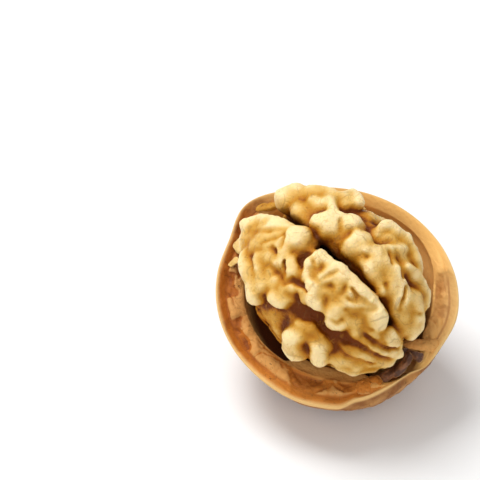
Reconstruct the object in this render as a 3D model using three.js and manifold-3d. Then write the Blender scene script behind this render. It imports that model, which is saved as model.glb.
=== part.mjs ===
// An opened walnut: half of the hard shell, the kernel lying in it, and the papery partition
// that is left at the stem end. Millimetres, +Z up.
//
// Everything is first described on the nut's own axes, with the rim's plane at h = 0:
//   u  along the nut, towards the stem end
//   v  across the nut
//   h  out of the open side
// The half shell then leans on the flat spot that it rests on.
import * as THREE from 'three';
import { edgeTable, triTable } from 'three/addons/objects/MarchingCubes.js';
import { mergeVertices } from 'three/addons/utils/BufferGeometryUtils.js';
import Module from 'manifold-3d';

const degrees = Math.PI / 180;

// How the half shell lies
const leanDegrees = 24.5;          // between the rim's normal and straight up
const leanHeading = -105.4;        // compass direction in which the open side leans
const longAxisHeading = -48.1;     // compass direction of the stem end
const restSpotDepth = 17.2;        // level of the flat spot under the middle of the rim

// Shell
const bodyHalfLength = 19.2;
const bodyHalfWidth = 17.7;
const outerDepth = 17.6;
const cavityDepth = 15.7;
const outerFullness = 0.93;        // below 1 makes the cup's side fuller than an ellipse
const rimBlend = 40 * degrees;     // below this dip the rim's outline has turned into a plain oval
const flangeHeight = 0.35;         // raised seam along the rim
const flangeFade = 1.6;
const grooveDepth = 0.34;
const grooveFreeRadius = 7.5;      // the grooves fade out round the rest spot
const shellSegments = 92;
const outerRows = 15;
const innerRows = 10;

// Rim: angle from the stem end in degrees, outer radius, width of the broken rim face
const rimTable = [
  [-180, 21.2, 3.2], [-161, 19.3, 3.6], [-141, 18.9, 4.0], [-120, 18.5, 4.1], [-100, 18.2, 4.3],
  [-83, 18.2, 4.7], [-59, 18.8, 5.2], [-42, 19.2, 5.1], [-27, 19.3, 4.2], [-14, 18.9, 2.0],
  [-3, 18.5, 1.5], [8, 18.7, 2.0], [20, 18.9, 3.4], [33, 19.4, 4.0], [48, 19.1, 3.7],
  [64, 18.5, 2.4], [82, 17.9, 1.5], [100, 17.6, 1.3], [119, 17.6, 1.3], [140, 18.1, 1.5],
  [160, 19.3, 2.3],
];
const rimFaceSteps = [0.15, 0.4, 0.65, 0.88];     // places across the rim face, from its outer edge
const rimDrop = 1.9;               // how far a wide rim face slopes down into the cup
const wideRim = 5.2;
const breakDepth = 1.1;            // the rim is broken lower at the stem end
const breakAngle = 4;
const breakSpread = 13;
const rimWaves = [[5, 1.0, 0.13], [9, 2.1, 0.1], [14, 0.4, 0.07]];   // count, phase, height

// Kernel
const kernelCell = 1.15;           // size of the cells that its surface is traced in
const kernelLow = [-18, -16, -17];
const kernelHigh = [18.5, 17.5, 18];
const seatGap = 0.35;              // clearance between the pieces
const domeMiddle = [-0.5, 0.6, 2.6];
const domeRadii = [16.6, 15.2, 12.6];             // dome that the fold crests reach
const valleyDepth = [2.0, 2.3, 1.5];              // valley floors lie this far inside the dome
const lowerMiddle = [-0.9, 1.9, -1.2];
const lowerRadii = [14.5, 12.6, 14.2];
const foldBlend = 0.45;
const chainBlend = 0.3;
const hollowBlend = 0.5;
const sideFoldDepth = 1.0;
const relaxSteps = [0.5, -0.45, 0.4];             // evens out the traced surface
const overRim = 0.95;              // above this level the kernel may reach over the rim
const partitionRoom = { u: 13.7, vLow: -5.3, vHigh: 4.3, h: 0.3 };

// Partition
const septumCell = 0.42;
const septumLow = [13.5, -5.2, -6.2];
const septumHigh = [17, 4.6, 1];
const sheetThickness = 0.95;
const sheetBlend = 0.4;

const wasm = await Module();
wasm.setup();

function clamp(x, low, high) {
  return Math.min(high, Math.max(low, x));
}

function smoothStep(x) {
  const t = clamp(x, 0, 1);
  return t * t * (3 - 2 * t);
}

function mix(a, b, t) {
  return a + (b - a) * t;
}

function smoothMin(a, b, blend) {
  const overlap = Math.max(blend - Math.abs(a - b), 0) / blend;
  return Math.min(a, b) - overlap * overlap * blend * 0.25;
}

function smoothMax(a, b, blend) {
  return -smoothMin(-a, -b, blend);
}

// Smooth closed curve through the rim table, column 1 the outer radius and column 2 the width
function rimValue(angle, column) {
  const count = rimTable.length;
  const first = rimTable[0][0];
  const turn = first + ((((angle / degrees - first) % 360) + 360) % 360);
  let i = count - 1;
  while (rimTable[i][0] > turn) i -= 1;
  const at = (k) => rimTable[(k + count) % count][column];
  const start = rimTable[i][0];
  const end = i + 1 < count ? rimTable[i + 1][0] : first + 360;
  const t = (turn - start) / (end - start);
  const [p0, p1, p2, p3] = [at(i - 1), at(i), at(i + 1), at(i + 2)];
  const b = p2 - p0;
  const c = 2 * p0 - 5 * p1 + 4 * p2 - p3;
  const d = 3 * p1 - p0 - 3 * p2 + p3;
  return p1 + (t * (b + t * (c + t * d))) / 2;
}

// Up and down of the broken rim, fading where the rim is a thin clean edge
function rimRise(angle) {
  const rough = smoothStep((rimValue(angle, 2) - 1.2) / 2.4);
  let rise = 0;
  for (const [count, phase, height] of rimWaves) rise += height * Math.sin(count * angle + phase);
  let away = angle / degrees - breakAngle;
  away -= 360 * Math.round(away / 360);
  return rough * rise - breakDepth * Math.exp(-((away / breakSpread) ** 2));
}

// Level of the rim face, share = 0 at its outer edge and 1 where the cup begins
function rimFaceLevel(angle, share) {
  const slope = rimDrop * Math.min(rimValue(angle, 2) / wideRim, 1);
  const ridges = 0.5 * Math.sin(share * 11 + 3 * Math.sin(angle * 4)) * share * (1 - share);
  return rimRise(angle) - slope * share ** 1.8 + ridges;
}

function cupRadius(angle) {
  return rimValue(angle, 1) - rimValue(angle, 2);
}

function cupTop(angle) {
  return rimFaceLevel(angle, 1) - 0.25;
}

// Shallow grooves that wander from end to end over the outside
function grooves(u, v, h) {
  const round = Math.atan2(-h, v);
  const first = Math.sin(4.3 * round + 0.5 * Math.sin(0.33 * u + 0.8) + 0.4);
  const second = Math.sin(2.7 * round - 0.45 * Math.sin(0.27 * u + 2.0) + 1.6);
  const narrow = Math.exp(-((first / 0.34) ** 2)) + 0.7 * Math.exp(-((second / 0.3) ** 2));
  const swell = 0.35 * Math.sin(7.3 * round + 0.6 * u) * Math.sin(0.5 * u + 1.1);
  return swell - narrow;
}

function headingVector(heading, rise) {
  const flat = Math.cos(rise * degrees);
  const up = Math.sin(rise * degrees);
  return new THREE.Vector3(flat * Math.cos(heading * degrees), flat * Math.sin(heading * degrees), up);
}

// Turn from the nut's own axes to the ground: the normal leans, the long axis keeps its heading
function leaningBasis() {
  const normal = headingVector(leanHeading, 90 - leanDegrees);
  const along = headingVector(longAxisHeading, 0);
  along.z = -(normal.x * along.x + normal.y * along.y) / normal.z;
  along.normalize();
  const across = new THREE.Vector3().crossVectors(normal, along);
  return new THREE.Matrix4().makeBasis(along, across, normal);
}

const lean = leaningBasis();
const down = new THREE.Vector3(0, 0, -1).transformDirection(lean.clone().invert());

// How far the outside is from the rest spot, 0 on it and 1 well away
function clearOfRestSpot(point) {
  const depth = point.dot(down);
  if (depth <= 0) return 1;
  const aside = Math.sqrt(Math.max(point.lengthSq() - depth * depth, 0));
  return smoothStep(aside / grooveFreeRadius - 0.4);
}

// Point of the outside, dip = 0 at the rim and 90 degrees under the middle
function outerPoint(angle, dip) {
  const body = 1 / Math.hypot(Math.cos(angle) / bodyHalfLength, Math.sin(angle) / bodyHalfWidth);
  const radius = mix(rimValue(angle, 1), body, smoothStep(dip / rimBlend));
  const across = radius * Math.max(Math.cos(dip), 0) ** outerFullness;
  const level = -outerDepth * Math.sin(dip) + rimRise(angle) * (1 - smoothStep(dip / (14 * degrees)));
  const point = new THREE.Vector3(across * Math.cos(angle), across * Math.sin(angle), level);
  const ends = 1 - smoothStep((Math.abs(point.x) - 13) / 7);
  const belowRim = smoothStep((dip - 8 * degrees) / (16 * degrees));
  const share = clearOfRestSpot(point) * ends * belowRim;
  const relief = grooveDepth * grooves(point.x, point.y, point.z) * share;
  const flange = flangeHeight * Math.exp(-((level / flangeFade) ** 2));
  return point.multiplyScalar(1 + (relief + flange) / point.length());
}

// Point of the inside, dip = 0 at the lower edge of the rim face
function innerPoint(angle, dip) {
  const across = cupRadius(angle) * Math.cos(dip);
  const top = cupTop(angle);
  const level = top - (cavityDepth + top) * Math.sin(dip);
  return new THREE.Vector3(across * Math.cos(angle), across * Math.sin(angle), level);
}

function rimFacePoint(angle, share) {
  const across = mix(rimValue(angle, 1) + flangeHeight, cupRadius(angle), share);
  return new THREE.Vector3(across * Math.cos(angle), across * Math.sin(angle), rimFaceLevel(angle, share));
}

function indexedGeometry(positions, index) {
  const geometry = new THREE.BufferGeometry();
  geometry.setAttribute('position', new THREE.Float32BufferAttribute(positions, 3));
  geometry.setIndex(index);
  return geometry;
}

// Closed surface from rings of points, with one point at each end
function ringedSolid(first, rings, last) {
  const count = rings[0].length;
  const end = 1 + rings.length * count;
  const at = (row, i) => 1 + row * count + (i % count);
  const index = [];
  for (let i = 0; i < count; i += 1) {
    index.push(0, at(0, i + 1), at(0, i));
    index.push(end, at(rings.length - 1, i), at(rings.length - 1, i + 1));
    for (let row = 0; row + 1 < rings.length; row += 1) {
      index.push(at(row, i), at(row, i + 1), at(row + 1, i + 1));
      index.push(at(row, i), at(row + 1, i + 1), at(row + 1, i));
    }
  }
  return indexedGeometry([first, ...rings.flat(), last].flatMap((p) => [p.x, p.y, p.z]), index);
}

function ringOf(pointAt) {
  return Array.from({ length: shellSegments }, (_, i) => pointAt((i / shellSegments) * 2 * Math.PI));
}

function shellGeometry() {
  const quarter = 90 * degrees;
  const rings = [];
  for (let row = 1; row <= outerRows; row += 1) {
    rings.push(ringOf((angle) => outerPoint(angle, quarter * (1 - row / outerRows))));
  }
  for (const share of rimFaceSteps) rings.push(ringOf((angle) => rimFacePoint(angle, share)));
  for (let row = 0; row < innerRows; row += 1) {
    rings.push(ringOf((angle) => innerPoint(angle, (quarter * row) / innerRows)));
  }
  return ringedSolid(outerPoint(0, quarter), rings, innerPoint(0, quarter));
}

// Solids for the cut and the joins
function toSolid(geometry) {
  const bare = geometry.clone();
  bare.deleteAttribute('normal');
  bare.deleteAttribute('uv');
  const merged = mergeVertices(bare, 1e-5);
  return new wasm.Manifold(new wasm.Mesh({
    numProp: 3,
    vertProperties: new Float32Array(merged.attributes.position.array),
    triVerts: new Uint32Array(merged.index.array),
  }));
}

function toGeometry(solid) {
  const mesh = solid.getMesh();
  return indexedGeometry(Array.from(mesh.vertProperties), Array.from(mesh.triVerts));
}

// The cut that leaves the flat spot: a slab whose top lies level at the rest spot's depth
function groundSlab() {
  const size = 60;
  return new THREE.BoxGeometry(size, size, size).translate(0, 0, -restSpotDepth - size / 2);
}

// Crests of the kernel's near lobe. Each point is u, v, h and the fold's radius there.
const nearFolds = {
  topPlate: [[-15.0, -4.3, 6.1, 1.7], [-14.6, -2.4, 5.7, 1.7], [-11.2, -2.1, 9.9, 1.7],
    [-8.6, -1.5, 11.7, 1.7], [-6.5, -1.1, 12.5, 1.7]],
  topBulb: [[-5.6, -1.0, 13.2, 1.9], [-5.7, -1.6, 13.1, 1.9]],
  bulbStem: [[-5.8, -2.3, 12.9, 1.6], [-5.5, -3.9, 12.8, 1.4], [-4.5, -5.3, 12.9, 1.1]],
  plateMiddle: [[-13.1, -4.5, 6.0, 1.7], [-10.0, -4.2, 9.5, 1.7], [-7.9, -3.2, 11.2, 1.6]],
  plateLeft: [[-14.0, -5.6, 6.1, 1.3], [-13.3, -6.6, 5.7, 1.3]],
  edgeMiddle: [[-10.6, -7.4, 6.9, 1.1], [-8.8, -8.7, 7.2, 1.1]],
  leftEdge: [[-11.8, -7.9, 6.0, 1.3], [-10.0, -9.2, 6.7, 1.3], [-7.5, -9.9, 8.4, 1.1],
    [-6.0, -10.3, 8.5, 1.3], [-4.8, -11.3, 7.7, 1.3]],
  leftStrand: [[-9.1, -7.0, 10.2, 1.0], [-7.5, -7.9, 10.4, 1.0], [-6.1, -9.2, 10.0, 1.0]],
  arch: [[-9.0, -7.0, 10.4, 0.8], [-7.2, -6.4, 11.7, 0.8], [-5.1, -6.0, 12.6, 0.7]],
  crossFold: [[-6.1, -10.1, 9.2, 0.9], [-4.9, -9.4, 10.4, 0.9], [-3.9, -8.4, 11.5, 0.8]],
  smallKnob: [[-2.9, -5.5, 13.0, 1.0], [-2.3, -5.8, 13.0, 1.0]],
  middleStrand: [[-3.4, -3.7, 13.7, 0.8], [-2.1, -4.7, 13.6, 0.8], [-0.9, -5.8, 13.2, 0.8]],
  hangingKnob: [[-1.2, -6.6, 12.7, 0.6], [-1.2, -7.9, 12.2, 0.8], [-1.1, -9.2, 10.8, 1.3],
    [-1.2, -9.5, 10.4, 1.3]],
  sideWall: [[-0.8, -10.9, 8.6, 1.0], [0.8, -11.6, 7.6, 1.0], [2.3, -11.8, 6.9, 1.0]],
  lowKnobLeft: [[3.2, -11.1, 7.2, 1.8], [4.6, -11.8, 4.8, 1.8]],
  lowKnobRight: [[7.8, -9.4, 7.0, 1.7], [8.2, -10.0, 5.2, 1.7]],
  lowKnobBridge: [[4.4, -10.3, 9.0, 1.0], [5.9, -9.8, 8.7, 1.0], [7.6, -9.6, 7.9, 1.0]],
  lowRidge: [[3.8, -9.9, 9.9, 0.6], [5.8, -9.2, 9.7, 0.6], [7.7, -8.7, 9.1, 0.6], [9.4, -8.5, 7.8, 0.6]],
  lowShelf: [[4.2, -10.3, 7.4, 1.1], [6.1, -9.6, 7.3, 1.1], [9.0, -8.5, 5.8, 1.1]],
  cleftTop: [[-1.1, -1.0, 14.8, 0.8], [0.9, -1.1, 14.7, 0.8], [2.5, -0.9, 14.4, 1.0]],
  chunkLeft: [[-1.0, -1.6, 14.7, 1.3], [-0.4, -3.2, 14.4, 1.3], [0.7, -4.2, 14.1, 1.3],
    [2.1, -4.8, 13.9, 1.1]],
  chunkAcross: [[2.1, -4.9, 13.8, 1.1], [2.2, -3.3, 14.3, 1.1], [2.6, -1.8, 14.5, 1.1],
    [3.7, -0.8, 14.4, 1.1]],
  chunkMiddle: [[0.6, -1.8, 13.4, 1.1], [3.1, -2.4, 12.9, 1.3], [5.6, -1.8, 12.3, 1.3],
    [7.8, -1.6, 11.5, 1.3]],
  cleftCrest: [[3.7, -0.8, 13.9, 1.3], [5.3, -0.7, 13.5, 1.3], [7.2, -0.6, 12.8, 1.3],
    [8.9, -0.4, 11.8, 1.4], [10.8, -0.3, 10.2, 1.7]],
  chunkSpur: [[4.3, -1.7, 14.2, 0.6], [5.0, -2.8, 13.8, 0.6]],
  roughPatch: [[3.3, -3.8, 12.9, 1.0], [4.6, -3.4, 12.7, 1.0]],
  squareKnob: [[2.8, -6.3, 12.1, 1.4], [3.7, -5.9, 12.2, 1.4]],
  broadKnob: [[6.4, -3.4, 12.5, 1.6], [6.6, -4.6, 11.6, 1.9], [7.6, -5.4, 11.0, 1.7]],
  endKnob: [[11.0, -0.6, 9.8, 1.8], [11.3, -1.1, 9.6, 1.7]],
  knobBridge: [[7.2, -2.2, 12.6, 1.1], [8.9, -1.4, 11.9, 1.1]],
  betweenKnobs: [[8.7, -3.8, 10.0, 1.1], [10.1, -2.8, 9.5, 1.1]],
  stemKnob: [[13.5, -0.5, 7.2, 1.3], [14.2, -0.2, 5.9, 1.3]],
  drapeFirst: [[10.2, -4.7, 9.7, 0.6], [11.8, -3.8, 8.9, 0.6], [13.2, -2.9, 7.9, 0.6],
    [14.5, -1.7, 6.2, 0.6], [15.4, -0.5, 4.4, 0.6]],
  drapeSecond: [[11.2, -4.9, 8.5, 0.6], [12.9, -4.1, 7.2, 0.6], [14.3, -3.0, 5.5, 0.6],
    [15.4, -1.2, 3.1, 0.6]],
  drapeThird: [[11.1, -6.1, 7.6, 0.7], [12.5, -5.7, 6.2, 0.7], [13.8, -4.7, 4.3, 0.8],
    [14.7, -2.8, 1.8, 0.8], [15.2, -0.8, 1.3, 0.7]],
  drapeLast: [[10.3, -8.4, 6.3, 0.8], [11.7, -7.7, 4.7, 1.0], [12.8, -6.3, 4.3, 1.0]],
};

// Crests of the far lobe
const farFolds = {
  tipBulb: [[-14.8, 3.2, 7.2, 1.4], [-14.2, 4.9, 7.8, 1.4], [-13.5, 5.9, 7.5, 1.3]],
  topRidge: [[-11.9, 7.4, 7.7, 1.3], [-10.4, 8.2, 8.5, 1.4], [-8.0, 7.9, 10.4, 1.4]],
  ridgeStem: [[-7.5, 7.1, 11.3, 1.3], [-5.7, 6.3, 12.3, 1.3]],
  backKnob: [[-6.6, 9.0, 10.5, 1.3], [-6.4, 10.2, 9.4, 1.4]],
  cleftRidge: [[-5.7, 2.8, 13.5, 1.2], [-4.3, 4.1, 13.4, 1.3], [-3.1, 5.5, 13.2, 1.4],
    [-2.2, 6.3, 13.0, 1.4], [-1.7, 6.4, 12.9, 1.5]],
  middleBulb: [[1.2, 4.1, 13.3, 1.7], [1.0, 4.8, 13.3, 1.6]],
  bulbTop: [[1.0, 5.1, 13.8, 1.0], [1.5, 5.9, 13.6, 1.0]],
  ringLower: [[2.5, 5.0, 13.6, 1.0], [4.3, 6.1, 12.9, 1.0], [4.9, 8.2, 11.8, 1.0],
    [5.2, 10.0, 10.5, 1.0]],
  ringUpper: [[4.2, 11.2, 9.3, 1.1], [2.6, 10.9, 10.4, 1.0], [1.1, 11.0, 10.4, 1.0]],
  ringLeft: [[1.0, 10.0, 10.3, 0.8], [1.6, 8.1, 11.5, 0.8]],
  outerRidge: [[4.4, 11.7, 8.9, 1.0], [5.8, 11.2, 8.8, 1.0], [7.5, 10.5, 8.6, 1.0]],
  outerFold: [[8.4, 8.1, 10.4, 0.7], [9.4, 8.5, 9.2, 0.8], [10.7, 8.7, 7.5, 0.9],
    [11.8, 8.5, 5.9, 1.0], [12.8, 7.3, 5.4, 1.0]],
  mound: [[5.2, 4.6, 13.0, 1.3], [6.0, 5.9, 12.3, 1.3], [7.4, 5.7, 11.8, 1.3], [8.7, 5.2, 11.3, 1.3]],
  ovalBulb: [[10.0, 4.7, 10.1, 1.7], [11.4, 4.1, 9.5, 1.4]],
  sideBulb: [[11.6, 6.0, 8.3, 1.2], [12.7, 5.7, 7.2, 1.2]],
  stemBulb: [[13.4, 4.9, 5.2, 1.6], [14.0, 3.9, 4.3, 1.6], [14.7, 3.0, 3.9, 1.1]],
};

// Hollows, pits and creases sunk between the crests
const hollows = {
  underChunk: [[1.3, -9.2, 8.9, 1.6], [2.9, -7.9, 7.7, 2.1], [5.2, -7.1, 7.6, 2.1],
    [8.2, -6.6, 7.6, 1.7], [10.7, -6.2, 8.2, 1.0]],
  leftBasin: [[-4.9, -7.0, 11.8, 1.4], [-3.9, -7.3, 12.0, 1.3]],
  leftPit: [[-7.2, -5.6, 12.6, 0.6], [-6.5, -5.6, 12.9, 0.6]],
  bulbValley: [[-2.6, -3.8, 13.8, 0.8], [-2.7, -2.3, 14.1, 0.8], [-2.5, -0.3, 14.3, 0.8]],
  chunkValley: [[-1.5, -4.3, 14.0, 0.7], [-0.3, -5.7, 13.6, 0.7], [1.0, -7.0, 12.9, 0.7],
    [2.1, -8.2, 12.0, 0.8]],
  edgeValley: [[-3.1, -9.7, 10.9, 1.0], [-3.6, -10.8, 9.8, 1.0]],
  knobPit: [[6.5, -11.6, 7.3, 0.6], [7.0, -11.4, 7.1, 0.6]],
  ridgeCrease: [[-12.3, 6.0, 10.3, 0.4], [-9.3, 4.1, 12.9, 0.4], [-7.3, 2.5, 14.0, 0.4]],
  ridgeBasin: [[-8.4, 4.7, 12.4, 1.0], [-7.3, 4.2, 12.9, 1.0]],
  backBasin: [[-4.6, 7.5, 12.6, 1.0], [-4.4, 9.4, 11.6, 1.0]],
  backNotch: [[-2.6, 10.8, 10.0, 1.4], [-1.0, 9.0, 11.5, 1.4], [0.0, 8.0, 12.1, 1.4]],
  ringPit: [[2.1, 6.9, 12.9, 1.0], [2.7, 8.4, 12.1, 1.0]],
  outerValley: [[5.8, 6.9, 12.6, 0.6], [6.4, 8.1, 11.7, 0.6], [7.9, 9.8, 9.6, 0.8]],
  outerBasin: [[8.9, 7.4, 10.4, 1.0], [10.6, 7.4, 9.0, 1.0]],
  crestPit: [[6.1, 9.9, 11.1, 0.5], [5.7, 10.8, 10.5, 0.5]],
};

// Distance to a round bar whose radius changes evenly from one end to the other
function barDistance(point, start, end) {
  const axis = [0, 1, 2].map((k) => end[k] - start[k]);
  const away = [0, 1, 2].map((k) => point[k] - start[k]);
  const length = axis[0] ** 2 + axis[1] ** 2 + axis[2] ** 2;
  const t = clamp((away[0] * axis[0] + away[1] * axis[1] + away[2] * axis[2]) / length, 0, 1);
  const gap = Math.hypot(away[0] - t * axis[0], away[1] - t * axis[1], away[2] - t * axis[2]);
  return gap - mix(start[3], end[3], t);
}

function chainDistance(point, chain) {
  let distance = barDistance(point, chain[0], chain[1]);
  for (let i = 1; i + 1 < chain.length; i += 1) {
    distance = smoothMin(distance, barDistance(point, chain[i], chain[i + 1]), chainBlend);
  }
  return distance;
}

function ovalDistance(point, middle, radii) {
  const scaled = [0, 1, 2].map((k) => (point[k] - middle[k]) / radii[k]);
  const far = Math.hypot(...scaled);
  const slope = Math.hypot(...scaled.map((s, k) => s / radii[k]));
  return (far * (far - 1)) / Math.max(slope, 1e-6);
}

// Winding valleys that cover the sides and the underside like the top's folds
function sideValleys(u, v, h) {
  const first = Math.sin(0.62 * (u + 1.6 * Math.sin(0.5 * v + 0.6 * h)) + 0.5);
  const second = Math.sin(0.6 * (h + 1.5 * Math.sin(0.55 * u) + 1.2 * Math.sin(0.5 * v)) + 1.2);
  return Math.max(Math.exp(-((first / 0.3) ** 2)), 0.8 * Math.exp(-((second / 0.3) ** 2)));
}

// Room that the cup leaves for the kernel, negative inside it
function cupDistance(u, v, h) {
  const angle = Math.atan2(v, u);
  const top = cupTop(angle);
  const below = Math.max(top - h, 0) / (cavityDepth + top);
  const far = Math.hypot(Math.hypot(u, v) / cupRadius(angle), below);
  return (far - 1) * 14 + seatGap;
}

// Negative inside the kernel
function kernelDistance(u, v, h) {
  const point = [u, v, h];
  const dome = ovalDistance(point, domeMiddle, domeRadii.map((r, k) => r - valleyDepth[k]));
  const nearWall = v + 0.6 - 0.25 * Math.sin(0.35 * u + 0.4);
  const farWall = 0.9 + 0.13 * Math.max(h, 0) + 0.35 * Math.sin(0.42 * u + 1) - v;
  const above = -(h + 1);
  const nearLobe = smoothMax(smoothMax(dome, nearWall, 1.2), above, 2);
  const farLobe = smoothMax(smoothMax(dome, farWall, 1.2), above, 2);
  const lower = smoothMax(ovalDistance(point, lowerMiddle, lowerRadii), h - 0.5, 2);
  let distance = smoothMin(smoothMin(nearLobe, farLobe, 0.5), lower, 1);
  const sides = Math.max(smoothStep((6 - h) / 5), smoothStep((v - 8) / 3), 0.35);
  distance += sideFoldDepth * sideValleys(u, v, h) * sides;
  for (const chain of Object.values(hollows)) {
    distance = smoothMax(distance, -chainDistance(point, chain), hollowBlend);
  }
  for (const chain of [...Object.values(nearFolds), ...Object.values(farFolds)]) {
    distance = smoothMin(distance, chainDistance(point, chain), foldBlend);
  }
  const cup = Math.min(cupDistance(u, v, h), overRim - h);
  const room = partitionRoom;
  const partition = Math.min(u - room.u, v - room.vLow, room.vHigh - v, room.h - h);
  return Math.max(distance, cup, partition);
}

// Traces the surface where the distance is 0 in a grid of cells
function tracedSurface(distanceAt, low, high, cell) {
  const counts = [0, 1, 2].map((k) => Math.ceil((high[k] - low[k]) / cell) + 1);
  const [nx, ny, nz] = counts;
  const place = (i, j, k) => [low[0] + i * cell, low[1] + j * cell, low[2] + k * cell];
  const node = (i, j, k) => (k * ny + j) * nx + i;
  const values = new Float64Array(nx * ny * nz);
  for (let k = 0; k < nz; k += 1) {
    for (let j = 0; j < ny; j += 1) {
      for (let i = 0; i < nx; i += 1) values[node(i, j, k)] = distanceAt(...place(i, j, k));
    }
  }
  const corners = [[0, 0, 0], [1, 0, 0], [1, 1, 0], [0, 1, 0], [0, 0, 1], [1, 0, 1], [1, 1, 1], [0, 1, 1]];
  const edges = [
    [0, 1], [1, 2], [3, 2], [0, 3], [4, 5], [5, 6], [7, 6], [4, 7], [0, 4], [1, 5], [2, 6], [3, 7],
  ];
  const positions = [];
  const index = [];
  const made = new Map();
  const vertexOn = (i, j, k, edge) => {
    const [a, b] = edges[edge].map((c) => [i + corners[c][0], j + corners[c][1], k + corners[c][2]]);
    const [nodeA, nodeB] = [node(...a), node(...b)];
    const key = nodeA * values.length + nodeB;
    if (!made.has(key)) {
      const t = clamp(values[nodeA] / (values[nodeA] - values[nodeB]), 0.08, 0.92);
      const [pa, pb] = [place(...a), place(...b)];
      made.set(key, positions.length / 3);
      positions.push(...pa.map((x, axis) => mix(x, pb[axis], t)));
    }
    return made.get(key);
  };
  for (let k = 0; k + 1 < nz; k += 1) {
    for (let j = 0; j + 1 < ny; j += 1) {
      for (let i = 0; i + 1 < nx; i += 1) {
        const outside = corners.reduce((bits, c, n) => (
          bits | (values[node(i + c[0], j + c[1], k + c[2])] > 0 ? 1 << n : 0)), 0);
        if (edgeTable[outside] !== 0) {
          for (let t = outside * 16; triTable[t] !== -1; t += 1) index.push(vertexOn(i, j, k, triTable[t]));
        }
      }
    }
  }
  return { positions, index };
}

// Moves each vertex towards the middle of its neighbours, or away from it where the step is negative
function relaxed({ positions, index }) {
  const neighbours = Array.from({ length: positions.length / 3 }, () => new Set());
  for (let t = 0; t < index.length; t += 3) {
    for (let side = 0; side < 3; side += 1) {
      const [a, b] = [index[t + side], index[t + ((side + 1) % 3)]];
      neighbours[a].add(b);
      neighbours[b].add(a);
    }
  }
  let moved = positions;
  for (const step of relaxSteps) {
    const before = moved;
    moved = before.map((x, n) => {
      const near = [...neighbours[Math.floor(n / 3)]];
      const middle = near.reduce((sum, i) => sum + before[3 * i + (n % 3)], 0) / near.length;
      return mix(x, middle, step);
    });
  }
  return { positions: moved, index };
}

// Keeps the largest connected piece of a traced surface
function largestPiece({ positions, index }) {
  const parent = Array.from({ length: positions.length / 3 }, (_, i) => i);
  const root = (i) => {
    let top = i;
    while (parent[top] !== top) top = parent[top];
    parent[i] = top;
    return top;
  };
  for (let t = 0; t < index.length; t += 3) {
    parent[root(index[t])] = root(index[t + 1]);
    parent[root(index[t + 1])] = root(index[t + 2]);
  }
  const sizes = new Map();
  for (const i of index) sizes.set(root(i), (sizes.get(root(i)) ?? 0) + 1);
  const [largest] = [...sizes.entries()].sort((a, b) => b[1] - a[1])[0];
  return mergeVertices(indexedGeometry(positions, index.filter((i) => root(i) === largest)), 1e-4);
}

function kernelGeometry() {
  return largestPiece(relaxed(tracedSurface(kernelDistance, kernelLow, kernelHigh, kernelCell)));
}

// Negative inside a sheet that lies this far from its middle surface, within its edges
function sheetDistance(fromMiddle, ...pastEdges) {
  const faces = Math.abs(fromMiddle) - sheetThickness / 2;
  return pastEdges.reduce((far, past) => smoothMax(far, past, sheetBlend), faces);
}

// Tongue that stands along the nut in line with the cleft
function tongueDistance(u, v, h) {
  const top = -1.2 + 0.35 * Math.sin(5 * u);
  const middle = 1.0 + 0.3 * Math.sin(0.9 * h + 1.6 * u);
  return sheetDistance(v - middle, 14.3 - u, u - 16.1, -5.2 - h, h - top);
}

// Flake that lies under the near lobe's end
function nearFlakeDistance(u, v, h) {
  const reach = 16.2 + 0.17 * v + 0.15 * Math.sin(2.3 * v);
  const level = -1.9 + 0.45 * (u - 14.3) ** 2 + 0.3 * Math.sin(1.1 * v);
  return sheetDistance(h - level, 14.3 + 0.2 * Math.sin(1.7 * v) - u, u - reach, -4.1 - v, v - 1.2);
}

// Flake that curls up at the far lobe's end
function farFlakeDistance(u, v, h) {
  const level = -1.6 + 0.09 * (v - 0.9) ** 2 + 0.25 * (u - 14.4);
  return sheetDistance(h - level, 14.35 - u, u - 16.2 + 0.22 * (v - 0.9), 0.8 - v, v - 3.5);
}

function septumDistance(u, v, h) {
  const flakes = smoothMin(nearFlakeDistance(u, v, h), farFlakeDistance(u, v, h), sheetBlend);
  return smoothMin(tongueDistance(u, v, h), flakes, sheetBlend);
}

function septumGeometry() {
  return largestPiece(relaxed(tracedSurface(septumDistance, septumLow, septumHigh, septumCell)));
}

function restingShellGeometry() {
  const leaning = shellGeometry().applyMatrix4(lean);
  return toGeometry(toSolid(leaning).subtract(toSolid(groundSlab())));
}

function namedMesh(name, geometry, color, roughness) {
  geometry.computeVertexNormals();
  const mesh = new THREE.Mesh(geometry, new THREE.MeshStandardMaterial({ color, roughness, metalness: 0 }));
  mesh.name = name;
  return mesh;
}

// The shell is turned before its flat spot is cut level, and what lies in it leans with it
const leaningContents = new THREE.Group();
leaningContents.matrixAutoUpdate = false;
leaningContents.matrix.copy(lean);
leaningContents.add(namedMesh('kernel', kernelGeometry(), '#e6c483', 0.55));
leaningContents.add(namedMesh('septum', septumGeometry(), '#5a3115', 0.6));

const nut = new THREE.Group();
nut.add(namedMesh('shell_half', restingShellGeometry(), '#b98046', 0.65));
nut.add(leaningContents);
nut.updateMatrixWorld(true);

// The origin lies on the ground under the middle of the whole nut
const extent = new THREE.Box3().setFromObject(nut, true);
nut.position.set(-(extent.min.x + extent.max.x) / 2, -(extent.min.y + extent.max.y) / 2, restSpotDepth);

const walnut = new THREE.Group();
walnut.add(nut);

export default walnut;
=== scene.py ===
import math

import bpy
import numpy as np
import openvdb
from mathutils import Matrix, Vector


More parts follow.
